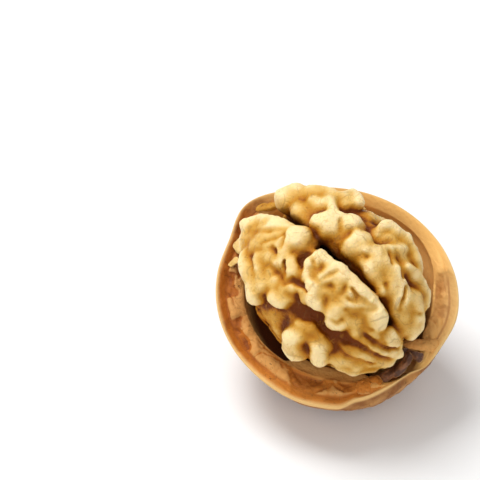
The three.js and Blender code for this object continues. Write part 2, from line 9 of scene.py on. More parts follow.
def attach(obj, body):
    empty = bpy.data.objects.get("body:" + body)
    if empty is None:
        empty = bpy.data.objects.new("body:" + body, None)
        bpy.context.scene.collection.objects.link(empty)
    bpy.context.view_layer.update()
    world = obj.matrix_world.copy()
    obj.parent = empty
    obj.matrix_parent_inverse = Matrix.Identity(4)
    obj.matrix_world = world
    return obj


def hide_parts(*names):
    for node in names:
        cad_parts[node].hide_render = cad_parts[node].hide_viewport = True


# An opened walnut: half of the hard shell, the kernel lying in it, and the papery partition.
# Shapes are worked out in millimetres on the nut's own axes, with the rim's plane at h = 0:
# u along the nut towards the stem end, v across it, h out of the open side.

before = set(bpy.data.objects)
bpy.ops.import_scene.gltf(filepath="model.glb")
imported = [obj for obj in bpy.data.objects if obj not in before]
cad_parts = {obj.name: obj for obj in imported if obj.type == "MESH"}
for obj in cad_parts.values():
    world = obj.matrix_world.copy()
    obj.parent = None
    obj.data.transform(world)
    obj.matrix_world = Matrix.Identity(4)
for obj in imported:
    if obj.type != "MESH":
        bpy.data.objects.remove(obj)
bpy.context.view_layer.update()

howItLies = {
    "leanDegrees": 24.5,                      # between the rim's normal and straight up
    "leanHeading": -105.4,                    # the way the open side leans, in degrees from +X
    "stemHeading": -48.1,                     # the way the stem end points, in degrees from +X
    "rimMiddle": (-0.2047, -0.2629, 17.2),    # where the middle of the rim stands over the ground
}


def headingVector(heading, rise):
    flat, turn = math.cos(math.radians(rise)), math.radians(heading)
    return Vector((flat * math.cos(turn), flat * math.sin(turn), math.sin(math.radians(rise))))


def leaningAxes():
    out = headingVector(howItLies["leanHeading"], 90 - howItLies["leanDegrees"])
    along = headingVector(howItLies["stemHeading"], 0)
    along.z = -(out.x * along.x + out.y * along.y) / out.z
    along.normalize()
    return np.array([along, out.cross(along), out])


nutAxes = leaningAxes()


def toGround(points):                         # nut's millimetres to the row frame's metres
    return (points @ nutAxes + np.array(howItLies["rimMiddle"])) / 1000


def smoothStep(x):
    t = np.clip(x, 0, 1)
    return t * t * (3 - 2 * t)


def blendBetween(a, b, t):
    return a + (b - a) * t


def softMin(a, b, blend):
    overlap = np.maximum(blend - np.abs(a - b), 0) / blend
    return np.minimum(a, b) - overlap * overlap * blend * 0.25


def softMax(a, b, blend):
    return -softMin(-a, -b, blend)


def stripe(x, width):                         # 1 on the line x = 0, fading to each side
    return np.exp(-((x / width) ** 2))


def curveThrough(p0, p1, p2, p3, t):          # smooth curve from p1 at t = 0 to p2 at t = 1
    b, c, d = p2 - p0, 2 * p0 - 5 * p1 + 4 * p2 - p3, 3 * p1 - p0 - 3 * p2 + p3
    return p1 + t * (b + t * (c + t * d)) / 2


def betweenCells(field, base, t):             # value of a grid at the place t past its cell base
    total = 0
    for corner in np.ndindex(2, 2, 2):
        share = 1
        for k in range(3):
            share = share * (t[..., k] if corner[k] else 1 - t[..., k])
        i = (base + np.array(corner, base.dtype)) % np.array(field.shape, base.dtype)
        total = total + share * field[i[..., 0], i[..., 1], i[..., 2]]
    return total


class Lumps:                                  # smooth random lumps, the same each run
    def __init__(self, seed, cells=40):
        lattice = np.random.default_rng(seed).uniform(-1, 1, (cells, cells, cells))
        self.lattice = lattice.astype(np.float32)

    def at(self, points, size):
        place = np.asarray(points, np.float32) / np.asarray(size, np.float32)
        base = np.floor(place).astype(np.int32)
        return betweenCells(self.lattice, base, smoothStep(place - base))

    def fine(self, points, size, layers=3, fade=0.5):      # smaller lumps laid over larger ones
        total, share = 0, 1
        for layer in range(layers):
            shifted = points + 7.3 * layer    # so that the layers don't line up
            total = total + share * self.at(shifted, np.asarray(size) / 2**layer)
            share = share * fade
        return total


def addObject(name, data):
    made = bpy.data.objects.new(name, data)
    bpy.context.scene.collection.objects.link(made)
    return made


def makePiece(name, points, faces, values, node):
    mesh = bpy.data.meshes.new(name)
    mesh.from_pydata(toGround(points).tolist(), [], [tuple(f) for f in faces])
    mesh.validate()
    mesh.shade_smooth()
    for key, value in {"nutPlace": points, **values}.items():     # what the materials read at each point
        wide = np.ndim(value) == 2
        kept = mesh.attributes.new(key, "FLOAT_VECTOR" if wide else "FLOAT", "POINT")
        kept.data.foreach_set("vector" if wide else "value", np.asarray(value, np.float32).ravel())
    piece = addObject(name, mesh)
    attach(piece, "root")
    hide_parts(node)
    print(f"{name}: {len(points)} points, {len(faces)} faces")
    return piece


def outwardNormals(points, faces):            # one for each point, for a mesh of quads
    corners = points[faces]
    across = np.cross(corners[:, 2] - corners[:, 0], corners[:, 3] - corners[:, 1])
    total = np.zeros_like(points)
    for k in range(4):
        np.add.at(total, faces[:, k], across)
    return total / np.maximum(np.linalg.norm(total, axis=1, keepdims=True), 1e-9)


# what thin crumpled flakes of shell, skin and partition have in common, in millimetres
flakeForm = {
    "wave": 0.2, "waveSize": 1.3,             # height and size of the crumples
    "tear": 0.22, "tearSize": 0.9,            # share of the width that is torn off at most
    "thinEdge": 0.3,                          # thickness at the edges, as a share of the middle's
}


def smoothSheet(net, rows, columns):          # evens a net of points out to a fine grid
    net = np.array(net, float)
    for axis, count in ((0, rows), (1, columns)):
        size = net.shape[axis]
        at = np.linspace(0, size - 1, count)
        i = np.minimum(at.astype(int), size - 2)
        t = (at - i).reshape((-1, 1, 1) if axis == 0 else (1, -1, 1))
        around = [net.take(np.clip(i + k, 0, size - 1), axis) for k in (-1, 0, 1, 2)]
        net = curveThrough(*around, t)
    return net


def thickSheet(middle, thick):                # closed thin body round a sheet of points
    rows, columns = middle.shape[:2]
    out = np.cross(np.gradient(middle, axis=0), np.gradient(middle, axis=1))
    out /= np.maximum(np.linalg.norm(out, axis=-1, keepdims=True), 1e-9)
    half = out * np.asarray(thick)[..., None] / 2
    points = np.concatenate([(middle + half).reshape(-1, 3), (middle - half).reshape(-1, 3)])
    top = np.arange(rows * columns).reshape(rows, columns)
    under = top + rows * columns
    quads = [np.stack([top[:-1, :-1], top[1:, :-1], top[1:, 1:], top[:-1, 1:]], -1).reshape(-1, 4),
             np.stack([under[:-1, :-1], under[:-1, 1:], under[1:, 1:], under[1:, :-1]], -1).reshape(-1, 4)]
    edge = np.concatenate([top[:-1, 0], top[-1, :-1], top[:0:-1, -1], top[0, :0:-1]])
    lower = edge + rows * columns
    quads.append(np.stack([edge, lower, np.roll(lower, -1), np.roll(edge, -1)], -1))
    return points, np.concatenate(quads)


def roughFlake(flake, lumps, rows, columns):
    form = flakeForm
    middle = smoothSheet(flake["net"], rows, columns)
    waves = [lumps.fine(middle + 9 * k, form["waveSize"], 4, 0.6) for k in range(3)]
    middle = middle + form["wave"] * np.stack(waves, -1)
    i, j = np.linspace(0, 1, rows)[:, None], np.linspace(0, 1, columns)
    sides = np.array([lumps.at(middle[:, k], form["tearSize"]) for k in (0, -1)])
    torn = 1 - form["tear"] * (1 + sides) / 2
    narrow = np.sqrt(np.clip(1 - np.abs(2 * i - 1) ** 5, 0.02, 1))       # rounds the two ends
    ragged = blendBetween(torn[0][:, None], torn[1][:, None], j)
    spine = middle[:, columns // 2][:, None]
    middle = spine + (middle - spine) * (narrow * ragged)[..., None]
    edge = np.minimum(np.minimum(i, 1 - i) * 4, np.minimum(j, 1 - j) * 2)
    thick = flake["thick"] * blendBetween(form["thinEdge"], 1, smoothStep(edge * 1.5))
    points, quads = thickSheet(middle, thick)
    return points, quads, np.tile(edge.ravel(), 2)


def addFlakes(points, faces, values, flakes, lumps, grid, valuesOf):
    for flake in flakes.values():
        spots, quads, edge = roughFlake(flake, lumps, *grid)
        faces += (quads + len(points)).tolist()
        points = np.concatenate([points, spots])
        for key, value in valuesOf(flake, edge).items():
            values[key] = np.concatenate([values[key], value + np.zeros(len(spots))])
    return points


# The half shell

shellForm = {
    "bodyHalfLength": 19.2, "bodyHalfWidth": 17.7,
    "outerDepth": 17.6, "cavityDepth": 15.7,
    "outerFullness": 0.93,                    # below 1 makes the cup's side fuller than an ellipse
    "rimBlend": 40,                           # dip in degrees from which the outline is a plain oval
    "flangeHeight": 0.35, "flangeFade": 1.6,  # raised seam along the rim
    "waveFade": 14,                           # the rim's ups and downs end at this dip
    "grooveDepth": 0.34,
    "grooveFreeRadius": 7.5,                  # room without grooves round the rest spot
    "grooveStart": 8, "grooveStartFade": 16,  # dip at which the grooves start
    "grooveEnd": 13, "grooveEndFade": 7,      # and how far along the nut they end
    "rimDrop": 1.9, "wideRim": 5.2,           # a wide rim face slopes down into the cup
    "thinRim": 1.6, "thinRimDrop": 0.9,       # a thin one is cleaner and slopes less
    "lipHeight": 0.25, "lipWidth": 0.16,      # outer lip of a wide rim face
    "furrowDepth": 0.4, "furrowPlace": 0.36, "furrowWidth": 0.12,      # between the lip and the break
    "cupStep": 0.25,                          # the cup's wall starts this far under the rim face
    "breakDepth": 2.3, "breakAngle": 1, "breakSpread": 9,         # the rim is broken lower at the stem end
    "setBack": 1.2,                           # the lip lies this far inside the bulge
    "setBackAngle": -16, "setBackSpread": 15, "setBackFade": 10, "setBackDip": 9,
    "ledgeWidth": 2.3,                        # shelf under the kernel's lower knobs
    "ledgeAngle": -47, "ledgeSpread": 21, "ledgeFade": 16,
    "ledgeStart": 0.1, "ledgeEnd": 0.16, "ledgeEndFade": 0.4,     # shares of the cup's depth
    "wallLean": 1.3, "leanFade": 0.4,         # how far a thin rim's wall leans into the cup
    "around": 480, "outerRows": 84, "rimRows": 26, "innerRows": 40,
}

# angle from the stem end in degrees, outer radius, width of the broken rim face
rimTable = np.array([
    (-180, 21.2, 3.2), (-161, 19.3, 3.6), (-141, 18.9, 4.0), (-120, 18.5, 4.1), (-100, 18.2, 4.3),
    (-83, 18.2, 4.7), (-59, 18.8, 5.2), (-42, 19.2, 5.1), (-27, 19.3, 4.2), (-14, 18.9, 2.0),
    (-3, 18.5, 1.5), (8, 18.7, 2.0), (20, 18.9, 3.4), (33, 19.4, 4.0), (48, 19.1, 3.7),
    (64, 18.5, 2.4), (82, 17.9, 1.5), (100, 17.6, 1.3), (119, 17.6, 1.3), (140, 18.1, 1.5),
    (160, 19.3, 2.3),
])

# broken bits of the rim at the stem end, as sheets through nets of points u, v, h
rimFlakes = {
    "stemShelf": {"thick": 0.9, "net": [
        [(13.1, 1.9, -1), (13.8, 1.9, -0.7), (14.4, 2, -1)],
        [(13.9, 3.3, -0.7), (15, 3, -0.3), (15.8, 2.6, -0.7)],
        [(14.9, 4.5, -0.5), (16.1, 4.1, -0.1), (17.1, 3.6, -0.5)],
        [(15.9, 5.7, -0.5), (17, 5.1, -0.2), (18, 4.4, -0.6)],
        [(16.7, 6.9, -0.7), (17.6, 6.3, -0.5), (18.3, 5.6, -0.8)]]},
    "brokenFlake": {"thick": 0.9, "net": [
        [(12.6, -7.1, -2.2), (13.9, -7.9, -1.3), (15.2, -8.9, -0.9)],
        [(13.3, -6, -1.9), (14.8, -6.9, -0.9), (16.2, -8, -0.5)],
        [(14, -4.7, -1.9), (15.6, -5.8, -0.9), (17, -7.1, -0.5)],
        [(14.9, -3.8, -1.8), (16.4, -4.7, -1), (17.8, -5.5, -0.6)]]},
}
rimWaves = [(5, 1.0, 0.13), (9, 2.1, 0.1), (14, 0.4, 0.07)]     # count, phase, height


def rimValue(angle, column):                  # smooth closed curve through the rim table
    count = len(rimTable)
    first = rimTable[0, 0]
    turn = first + (np.degrees(angle) - first) % 360
    i = np.searchsorted(rimTable[:, 0], turn, side="right") - 1
    ends = np.append(rimTable[1:, 0], first + 360)
    t = (turn - rimTable[i, 0]) / (ends[i] - rimTable[i, 0])
    return curveThrough(*(rimTable[(i + k) % count, column] for k in (-1, 0, 1, 2)), t)


def turnFrom(angle, middle):                  # degrees from a place on the rim, -180 to 180
    return (np.degrees(angle) - middle + 180) % 360 - 180


def nearAngle(angle, middle, spread, fade):   # 1 within the spread of a place on the rim, then fading
    return 1 - smoothStep((np.abs(turnFrom(angle, middle)) - spread) / fade)


def rimRise(angle):
    rough = smoothStep((rimValue(angle, 2) - 1.2) / 2.4)
    rise = sum(height * np.sin(count * angle + phase) for count, phase, height in rimWaves)
    away = turnFrom(angle, shellForm["breakAngle"])
    return rough * rise - shellForm["breakDepth"] * stripe(away, shellForm["breakSpread"])


def setBack(angle):
    form = shellForm
    here = nearAngle(angle, form["setBackAngle"], form["setBackSpread"], form["setBackFade"])
    return form["setBack"] * here


def rimFaceLevel(angle, share):               # share is 0 at the lip and 1 at the cup
    form = shellForm
    broad = np.minimum(rimValue(angle, 2) / form["wideRim"], 1)
    shaped = smoothStep(broad * 3 - 1)
    lip = form["lipHeight"] * stripe(share, form["lipWidth"]) * shaped
    furrow = form["furrowDepth"] * stripe(share - form["furrowPlace"], form["furrowWidth"]) * shaped
    slant = form["thinRimDrop"] * (1 - smoothStep(broad * 3 - 0.7)) * share**1.4
    return rimRise(angle) - form["rimDrop"] * broad * share**1.5 - slant + lip - furrow


def cupRadius(angle):
    return rimValue(angle, 1) - rimValue(angle, 2)


def cupTop(angle):
    return rimFaceLevel(angle, 1) - shellForm["cupStep"]


def wallRadius(angle, fall):                  # of the cup's wall, fall is 0 at its top and 1 at its foot
    form = shellForm
    shelf = smoothStep(fall / form["ledgeStart"])
    shelf = shelf * (1 - smoothStep((fall - form["ledgeEnd"]) / form["ledgeEndFade"]))
    here = nearAngle(angle, form["ledgeAngle"], form["ledgeSpread"], form["ledgeFade"])
    thin = 1 - smoothStep((rimValue(angle, 2) - form["thinRim"]) / 1.8)
    lean = form["wallLean"] * thin * smoothStep(fall / form["leanFade"])
    return cupRadius(angle) - form["ledgeWidth"] * shelf * here - lean


def grooves(u, v, h):                         # shallow grooves that wander from end to end
    turn = np.arctan2(-h, v)
    first = np.sin(4.3 * turn + 0.5 * np.sin(0.33 * u + 0.8) + 0.4)
    second = np.sin(2.7 * turn - 0.45 * np.sin(0.27 * u + 2.0) + 1.6)
    swell = 0.35 * np.sin(7.3 * turn + 0.6 * u) * np.sin(0.5 * u + 1.1)
    return swell - stripe(first, 0.34) - 0.7 * stripe(second, 0.3)


down = -nutAxes[:, 2]                         # straight down, on the nut's axes


def clearOfRestSpot(points):                  # 0 on the spot that it rests on, 1 well away from it
    depth = points @ down
    aside = np.sqrt(np.maximum((points**2).sum(-1) - depth**2, 0))
    return np.where(depth <= 0, 1, smoothStep(aside / shellForm["grooveFreeRadius"] - 0.4))


def ringPoints(across, angle, level):
    return np.stack([across * np.cos(angle), across * np.sin(angle), level], -1)


def outerPoints(angle, dip):                  # dip is 0 at the rim and a right angle at the bottom
    form, fall = shellForm, np.degrees(dip)
    body = 1 / np.hypot(np.cos(angle) / form["bodyHalfLength"], np.sin(angle) / form["bodyHalfWidth"])
    radius = blendBetween(rimValue(angle, 1), body, smoothStep(fall / form["rimBlend"]))
    across = radius * np.maximum(np.cos(dip), 0) ** form["outerFullness"]
    across = across - setBack(angle) * (1 - smoothStep(fall / form["setBackDip"]))
    level = -form["outerDepth"] * np.sin(dip) + rimRise(angle) * (1 - smoothStep(fall / form["waveFade"]))
    points = ringPoints(across, angle, level)
    ends = 1 - smoothStep((np.abs(points[..., 0]) - form["grooveEnd"]) / form["grooveEndFade"])
    belowRim = smoothStep((fall - form["grooveStart"]) / form["grooveStartFade"])
    share = clearOfRestSpot(points) * ends * belowRim
    relief = form["grooveDepth"] * grooves(*np.moveaxis(points, -1, 0)) * share
    flange = form["flangeHeight"] * stripe(level, form["flangeFade"])
    away = np.linalg.norm(points, axis=-1)
    return points * (1 + (relief + flange) / away)[..., None]


def innerPoints(angle, dip):
    top = cupTop(angle)
    level = top - (shellForm["cavityDepth"] + top) * np.sin(dip)
    return ringPoints(wallRadius(angle, np.sin(dip)) * np.cos(dip), angle, level)


def rimFacePoints(angle, share):
    outer = rimValue(angle, 1) + shellForm["flangeHeight"] - setBack(angle)
    across = blendBetween(outer, cupRadius(angle), share)
    return ringPoints(across, angle, rimFaceLevel(angle, share))


def ringedFaces(rows, around):                # quads between rings, with a fan at each end
    grid = 1 + np.arange(rows * around).reshape(rows, around)
    a, b = grid[:-1], np.roll(grid, -1, 1)[:-1]
    c, d = np.roll(grid, -1, 1)[1:], grid[1:]
    quads = np.stack([a, b, c, d], -1).reshape(-1, 4)
    last = 1 + rows * around
    fans = [(0, grid[0, (i + 1) % around], grid[0, i]) for i in range(around)]
    fans += [(last, grid[-1, i], grid[-1, (i + 1) % around]) for i in range(around)]
    return quads, fans


def shellRings():                             # each one's points, share across the rim face, and dip
    form, quarter = shellForm, np.pi / 2
    around = np.linspace(0, 2 * np.pi, form["around"], endpoint=False)
    outerDips = quarter * (1 - np.linspace(0, 1, form["outerRows"] + 1)[1:] ** 0.85)
    shares = np.linspace(0, 1, form["rimRows"] + 2)[1:-1]
    innerDips = quarter * np.linspace(0, 1, form["innerRows"], endpoint=False) ** 1.15
    rings = [(outerPoints(np.zeros(1), quarter), 0, -90)]
    rings += [(outerPoints(around, dip), 0, -np.degrees(dip)) for dip in outerDips]
    rings += [(rimFacePoints(around, share), share, 0) for share in shares]
    rings += [(innerPoints(around, dip), 1, np.degrees(dip)) for dip in innerDips]
    return rings + [(innerPoints(np.zeros(1), quarter), 1, 90)]


# heights and sizes of the lumps on its surface
shellRoughness = {
    "drawnOut": (0.45, 1, 1),                 # the outside's lumps lie along the nut
    "skin": 0.15, "skinSize": 2.2, "lines": 0.12, "lineSize": 3.1, "pits": 0.18, "pitSize": 0.7,
    "wall": 0.05, "wallSize": 3.0,
    "chunks": 0.65, "chunkSize": 4.4,         # broken blocks with flat tops
    "grit": 0.3, "gritSize": 1.7, "cracks": 0.22, "crackSize": 2.3,
    "tornFrom": 0.34, "onLip": 0.22,          # share across the rim face, and how rough the lip is
    "flakeGrid": (44, 22),
}


def outsideRelief(points, coarse, gritty):
    form, along = shellRoughness, points * np.array(shellRoughness["drawnOut"])
    skin = form["skin"] * coarse.fine(along, form["skinSize"])
    lines = form["lines"] * stripe(coarse.at(along, form["lineSize"]), 0.08)
    pits = form["pits"] * smoothStep((gritty.at(points, form["pitSize"]) - 0.5) / 0.35)
    return skin - lines - pits, form["wall"] * coarse.fine(along, form["wallSize"], 2)


def tornRelief(points, coarse, gritty):
    form = shellRoughness
    chunks = smoothStep((coarse.fine(points, form["chunkSize"], 2) + 0.14) / 0.26)
    grit = gritty.fine(points, form["gritSize"], 5, 0.55)
    cracks = stripe(gritty.at(points, form["crackSize"]), 0.08)
    return form["chunks"] * (chunks - 0.5) + form["grit"] * grit - form["cracks"] * cracks


def rimFlakeValues(flake, edge):
    torn = 0.3 - 0.4 * smoothStep(edge * 2)
    return {"share": 0.6, "dip": 0.0, "wide": 1.0, "torn": torn, "skin": 0.0}


def makeShell():
    form, rings = shellRoughness, shellRings()
    points = np.concatenate([ring[0] for ring in rings])
    share, dip = (np.concatenate([np.full(len(ring[0]), float(ring[k])) for ring in rings]) for k in (1, 2))
    quads, fans = ringedFaces(len(rings) - 2, shellForm["around"])
    coarse, gritty = Lumps(11), Lumps(12)
    angle = np.arctan2(points[:, 1], points[:, 0])
    wide = smoothStep((rimValue(angle, 2) - shellForm["thinRim"]) / 2)
    atCup = 1 - 0.6 * smoothStep((share - 0.86) / 0.14)           # calmer again next to the cup
    broken = smoothStep((share - form["tornFrom"]) / 0.12) * atCup
    onLip = form["onLip"] * (share < form["tornFrom"]) * smoothStep(share / 0.2)
    skin, wall = outsideRelief(points, coarse, gritty)
    skin = smoothStep((-dip - 1) / 6) * clearOfRestSpot(points) * skin
    torn = (share > 0) * (share < 1) * wide * (broken + onLip) * tornRelief(points, coarse, gritty)
    points = points + outwardNormals(points, quads) * (skin + torn + (share >= 1) * wall)[:, None]
    below = np.maximum(points @ down - howItLies["rimMiddle"][2], 0)
    points = points - below[:, None] * down   # nothing lies lower than the ground
    values = {"share": share, "dip": dip, "wide": wide, "torn": torn, "skin": skin}
    faces = quads.tolist() + fans
    points = addFlakes(points, faces, values, rimFlakes, coarse, form["flakeGrid"], rimFlakeValues)
    return makePiece("shell_half_visual", points, faces, values, "shell_half")


shell = makeShell()


# The kernel

kernelForm = {
    "cell": 0.27,                             # size of the cells that its surface is traced in
    "roughCell": 0.81, "band": 1.5,           # first pass, and how near the surface the second one looks
    "low": (-18.0, -16.0, -17.0), "high": (18.5, 17.5, 18.0),
    "seatGap": 0.35,                          # clearance from the shell
    "cupScale": 14,                           # about the cup's radius, turns its shares into millimetres
    "domeMiddle": (-0.5, 0.6, 2.6), "domeRadii": (16.6, 15.2, 12.6),     # dome that the crests reach
    "valleyDepth": (2.0, 2.3, 1.5),           # valley floors lie this far inside the dome
    "lowerMiddle": (-0.9, 1.9, -1.2), "lowerRadii": (14.5, 12.6, 14.2),
    "nearWall": 0.6, "nearSway": 0.25,        # the cleft's two walls
    "farWall": 0.9, "farSway": 0.35, "farLean": 0.13,
    "lobeFoot": -1, "lowerTop": 0.5, "footBlend": 2,              # where the lobes join the lower body
    "wallBlend": 1.2, "lobeBlend": 0.5, "lowerBlend": 1, "floorBlend": 1.0, "bodyBlend": 0.9,
    "foldBlend": 0.85, "hollowBlend": 0.7, "creaseBlend": 0.4, "chainBlend": 0.3,
    "sideFoldDepth": 1.0,                     # the side folds start under this level, or past this v
    "sideTop": 6, "sideFade": 5, "farSide": 8, "farFade": 3,
    "overRim": 0.95,                          # above this level it may reach over the rim
    "wander": 0.27, "wanderSize": 2.6,        # how far and how often the folds stray from even bars
    "crestCells": 2, "swellCells": 6,         # reach of the two means that tell crests from creases
    "wrinkle": 0.085, "wrinkleSize": 1.5, "wrinkleLines": 1.2, "lineSize": 2.1,
    "stainEdge": 1.3,                         # a stain ends at this many times its radius
    "flakeGrid": (30, 18),
}
# floor of the cleft, where the lobes are joined, and the room that is left for the partition
cleftFloor = {"joined": [(-11, 0.3, 0.8, 2.6), (-5, 0.3, 3.6, 3.0), (3, 0.3, 4.2, 3.0), (9, 0.3, 2.6, 2.6)]}
partitionRoom = {"u": 13.7, "vLow": -5.3, "vHigh": 4.3, "h": 0.3}

# flakes of the kernel's skin that hang over the rim, as sheets through nets of points u, v, h
skinFlakes = {
    "leftFlake": {"thick": 0.16, "darker": 0, "net": [
        [(-17.7, -6.9, -0.2), (-17.7, -5.8, 0.2), (-17.7, -4.7, 0.5)],
        [(-16.5, -7.1, 0.1), (-16.2, -6.2, 0.8), (-16.2, -5.1, 1)],
        [(-15.5, -7.3, 0), (-15.2, -6.6, 0.8), (-15.1, -5.8, 1.2)]]},
    "lowFlake": {"thick": 0.16, "darker": 0, "net": [
        [(-15.7, -9.6, -0.3), (-15.5, -8.5, 0.3), (-15.6, -7.4, 0.5)],
        [(-14.5, -9.5, 0), (-14.2, -8.6, 0.7), (-14.1, -7.5, 1)]]},
    "backFlake": {"thick": 0.3, "darker": 0.35, "net": [
        [(-19.7, -0.1, -0.5), (-19.9, 0.7, -0.3), (-20.1, 1.6, -0.4)],
        [(-18.6, 1.3, -0.4), (-18.6, 2, 0), (-19.1, 3.1, -0.3)],
        [(-17.5, 2.7, -0.7), (-17.6, 3.4, -0.4), (-17.9, 4.2, -0.6)]]},
}

# broad swells of the near lobe: each point is u, v, h and the radius there
nearBodies = {
    "plate": [(-13.8, -3.8, 5.2, 2.38), (-9.8, -2.9, 10, 2.38), (-6.8, -1.7, 11.8, 2.22)],
    "plateFace": [(-13, -5, 5.7, 2.06), (-9.1, -4.1, 10.3, 2.06)],
    "plateUnder": [(-10, -5.6, 8.8, 1.9), (-7.4, -4.4, 10.9, 1.9)],
    "plateLow": [(-10.9, -7.1, 6.9, 1.9), (-8.5, -8.7, 7.6, 1.9), (-5.7, -10, 8.1, 1.75)],
    "basinFloor": [(-7.1, -6.3, 10, 1.59), (-5.2, -7.3, 10.1, 1.59), (-3.9, -8.8, 9.3, 1.59)],
    "column": [(-6.2, -3.5, 11.9, 1.59), (-4.2, -4.9, 12, 1.59), (-2.5, -5.9, 11.8, 1.59)],
    "columnFoot": [(-2.6, -8.6, 10, 1.59), (-0.5, -8.5, 10.2, 1.59)],
    "neck": [(-3.1, -3.5, 12.2, 1.75), (-0.9, -5.1, 11.9, 1.75), (0.7, -6.9, 10.5, 1.59)],
    "chunk": [(0.5, -2, 12.9, 2.38), (3.4, -2.1, 12.3, 2.54), (6.4, -1.6, 11.5, 2.54),
        (9.4, -0.9, 10.3, 2.22)],
    "chunkTop": [(-0.9, -1.9, 13.5, 1.75), (0.9, -3.5, 13.1, 1.75)],
    "chunkLow": [(2.9, -4.8, 12.2, 1.9), (6.4, -4.5, 11, 2.06), (8.6, -3, 10.4, 2.06)],
    "drape": [(10.4, -5.2, 6.9, 2.38), (12, -3.4, 5.4, 2.54), (13.4, -1, 4.9, 2.06)],
    "drapeEnd": [(13.9, -1.1, 3.1, 1.9), (13.5, -2.9, 2.5, 1.9)],
    "underEnd": [(10.2, -3.6, 9.1, 1.59), (11.1, -2.8, 8.6, 1.59)],
    "drapeFoot": [(10.5, -7.4, 5.3, 1.59), (11.9, -5.9, 3.7, 1.75), (13.2, -3.9, 2.9, 1.59)],
    "bulbSlope": [(-3.9, -1.3, 12.5, 1.27), (-3.8, -0.2, 12.2, 1.27)],
    "lowWall": [(-0.7, -9.5, 7.6, 1.43), (1.2, -9.8, 7, 1.43), (3.2, -9.5, 6.8, 1.43)],
}

# broad swells of the far lobe
farBodies = {
    "goldFloor": [(-9.1, 5.3, 10.4, 1.59), (-8.2, 5.8, 10.7, 1.59)],
    "outerFill": [(6.1, 8.7, 10, 1.11), (7.4, 8.5, 9.4, 1.11)],
    "basinFill": [(9.1, 8, 8.4, 1.11), (10.2, 7.7, 7.4, 1.11)],
    "top": [(-14, 3.8, 6.9, 2.38), (-11.6, 6, 7.7, 2.22), (-8.9, 7.5, 9.3, 2.06)],
    "middle": [(-4.6, 3.3, 12.2, 2.38), (-3, 4.8, 12.2, 2.38), (-1.6, 5.8, 12.1, 2.22)],
    "right": [(2.1, 4.8, 12.2, 2.38), (4.9, 5.3, 11.2, 2.54), (8.1, 5.1, 10.1, 2.38),
        (10.8, 4.9, 8.4, 2.06)],
    "outer": [(3.2, 9.1, 10.4, 1.59), (5.3, 10.2, 8.4, 1.75), (8.3, 9.3, 7.3, 1.75)],
    "outerLow": [(10.1, 8, 6.8, 1.59), (11.6, 7, 5.5, 1.59)],
    "stemFill": [(11.9, 3.3, 7.8, 1.75), (13.4, 2.6, 5.4, 1.75)],
    "stem": [(11.5, 5.9, 7.2, 1.75), (13.5, 4.2, 4.6, 1.75)],
    "back": [(-5.9, 8.3, 10.4, 1.43), (-5.6, 9.9, 9.4, 1.43)],
    "cleftSlope": [(-10.7, 2.8, 9.1, 1.43), (-6, 2.8, 11.2, 1.43), (-1.7, 3, 11.3, 1.43),
        (2.5, 3.1, 10.6, 1.43), (6.6, 3.2, 9, 1.43), (9.7, 3.5, 6.8, 1.27)],
}

